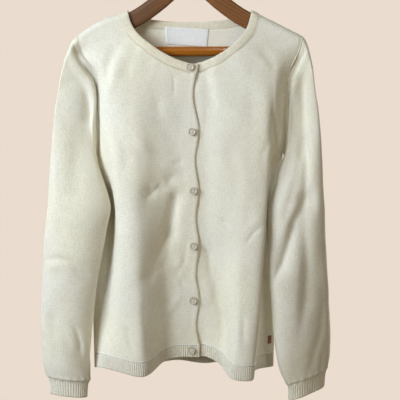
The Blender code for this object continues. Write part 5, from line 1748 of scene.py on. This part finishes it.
def build_floor():
    """Pale floor far below, seen from above only."""
    start_fresh()
    bpy.ops.mesh.primitive_circle_add(
        vertices=96, radius=FLOOR_RADIUS, fill_type="TRIFAN", location=(0, 0, FLOOR_Z))
    floor = bpy.context.object
    floor.name = "floor"
    apply_place()
    made, tree, shader = material("floor", Roughness=0.9, Base_Color=(*FLOOR_LIT, 1.0))
    shown = tree.add("Emission", {"Color": (*FLOOR_SHOWN, 1.0)}).outputs[0]
    clear = tree.add("BsdfTransparent").outputs[0]
    behind = tree.add("NewGeometry").outputs["Backfacing"]
    tree.end(tree.choose(behind, tree.to_camera(shader.outputs[0], shown), clear))
    floor.data.materials.append(made)


WORLD_LIGHT = (1.0, 0.72, 0.38)     # the warm light from all round
WORLD_STRENGTH = 0.075
# Lights: name, place, place aimed at, size, power in watts, colour.
LIGHTS = (
    ("key", (-1.12, -0.88, 0.14), (-0.03, 0.0, -0.28), 0.8, 28.0, (0.79, 0.885, 1.0)),
    ("fill", (0.80, -1.22, -0.1), (-0.05, 0.0, -0.30), 0.5, 3.1, (1.0, 0.89, 0.70)),
    ("top", (0.25, -0.8, 0.9), (0.05, 0.0, -0.15), 0.3, 3.2, (0.82, 0.92, 1.0)),
    ("rear_key", (1.2, 1.4, 0.35), (0.0, 0.0, -0.30), 0.5, 33.0, (0.88, 0.95, 1.0)),
    ("rear_fill", (-1.2, 1.3, 0.1), (0.0, 0.0, -0.30), 0.7, 14.0, (1.0, 0.95, 0.84)),
)


def build_light():
    world = bpy.data.worlds.new("studio")
    bpy.context.scene.world = world
    world.use_nodes = True
    tree = Tree(world.node_tree)
    shown = world.node_tree.nodes["Background"]
    shown.inputs["Color"].default_value = (*BACKDROP, 1.0)
    shown.inputs["Strength"].default_value = 1.0
    lit = tree.add("Background", {"Color": (*WORLD_LIGHT, 1.0), "Strength": WORLD_STRENGTH})
    tree.end(tree.to_camera(lit.outputs[0], shown.outputs[0]))
    for name, place, aim, size, power, colour in LIGHTS:
        light = bpy.data.lights.new(name, "AREA")
        light.shape = "SQUARE"
        light.size = size
        light.energy = power
        light.color = colour
        lamp = add_piece(name, light)
        lamp.location = place
        lamp.rotation_euler = (Vector(aim) - Vector(place)).to_track_quat("-Z", "Y").to_euler()


CAMERA_PLACE = (0.0145, -1.4888, -0.2016)
CAMERA_PITCH = 83           # degrees from looking straight down
CAMERA_LENS = 93.06         # on a sensor 36 mm wide


def build_camera():
    eye = bpy.data.cameras.new("camera")
    eye.lens = CAMERA_LENS
    eye.sensor_width = 36.0
    camera = add_piece("camera", eye)
    camera.location = CAMERA_PLACE
    camera.rotation_euler = (math.radians(CAMERA_PITCH), 0, 0)
    bpy.context.scene.camera = camera


# ---------------------------------------------------------------- all of it

# Colours of each knit, light and deep.
CREAM = ((0.87, 0.845, 0.738), (0.66, 0.605, 0.47))
# The purl side is painted lighter than the face: painted light on the garment's inside, seen in
# the neck.
PURL_PAINTED_LIGHT = ((0.90, 0.87, 0.77), (0.72, 0.67, 0.55))
# The ribs are painted darker than the cream, as shade under the hem's ridge.
RIBBED_PAINTED_SHADE = ((0.82, 0.79, 0.695), (0.60, 0.55, 0.44))
BAND = ((0.85, 0.80, 0.67), (0.64, 0.57, 0.42))


def build_cloth():
    stitches = knit_group()
    face = knit_material("fine_knit", stitches, *CREAM)
    back = knit_material("purl_side_painted_light", stitches, *PURL_PAINTED_LIGHT, purl=True)
    ribs = knit_material("ribbed_knit_painted_shade", stitches, *RIBBED_PAINTED_SHADE, wale=0.0015, bump=0.3)
    # The ridge's yarn is painted brighter than the cloth, as a highlight along the top of the
    # hem's ribs.
    ridge = thread_material("ridge_yarn_painted_highlight", (0.90, 0.875, 0.79))
    band = knit_material("band_knit", stitches, *BAND, wale=0.0013, bump=0.4)
    thread = thread_material("cream_thread", (0.80, 0.75, 0.63))
    pearl = pearl_material()
    label = woven_material("label_satin", (0.90, 0.89, 0.86), (0.76, 0.75, 0.72), 0.5)
    tab = woven_material("brown_tape", (0.30, 0.11, 0.025), (0.16, 0.055, 0.015), 0.6)
    for name in ("right_front", "left_front"):
        build_front(name, (face, back))
    build_back((face, back))
    for name in BODY:
        build_hem(name, (ribs, back), ridge)
    for name in SLEEVES:
        build_sleeve(name, (face, back))
    build_neckband(band)
    build_seams(face)
    build_marks(face)
    build_patches(label, tab, thread)
    build_buttons(pearl, thread, face)


def build_hanger():
    grain = grain_group()
    # The last colour is the painted shade with a greyish highlight on the arm at -X.
    wood = wood_material("stained_wood", grain, (0.12, 0.042, 0.010), (0.30, 0.115, 0.026),
                         0.45, 0.12, (0.10, 0.050, 0.024))
    varnish = wood_material("varnished_wood", grain, (0.27, 0.075, 0.006), (0.50, 0.17, 0.012),
                            0.26, 0.55)
    steel = steel_material()
    build_bar(varnish)
    build_ferrule(steel)
    dress("hanger_arms", wood)
    dress("hanger_hook", steel)


build_cloth()
build_hanger()
build_floor()
build_light()
build_camera()
bpy.context.scene.view_settings.view_transform = "Standard"
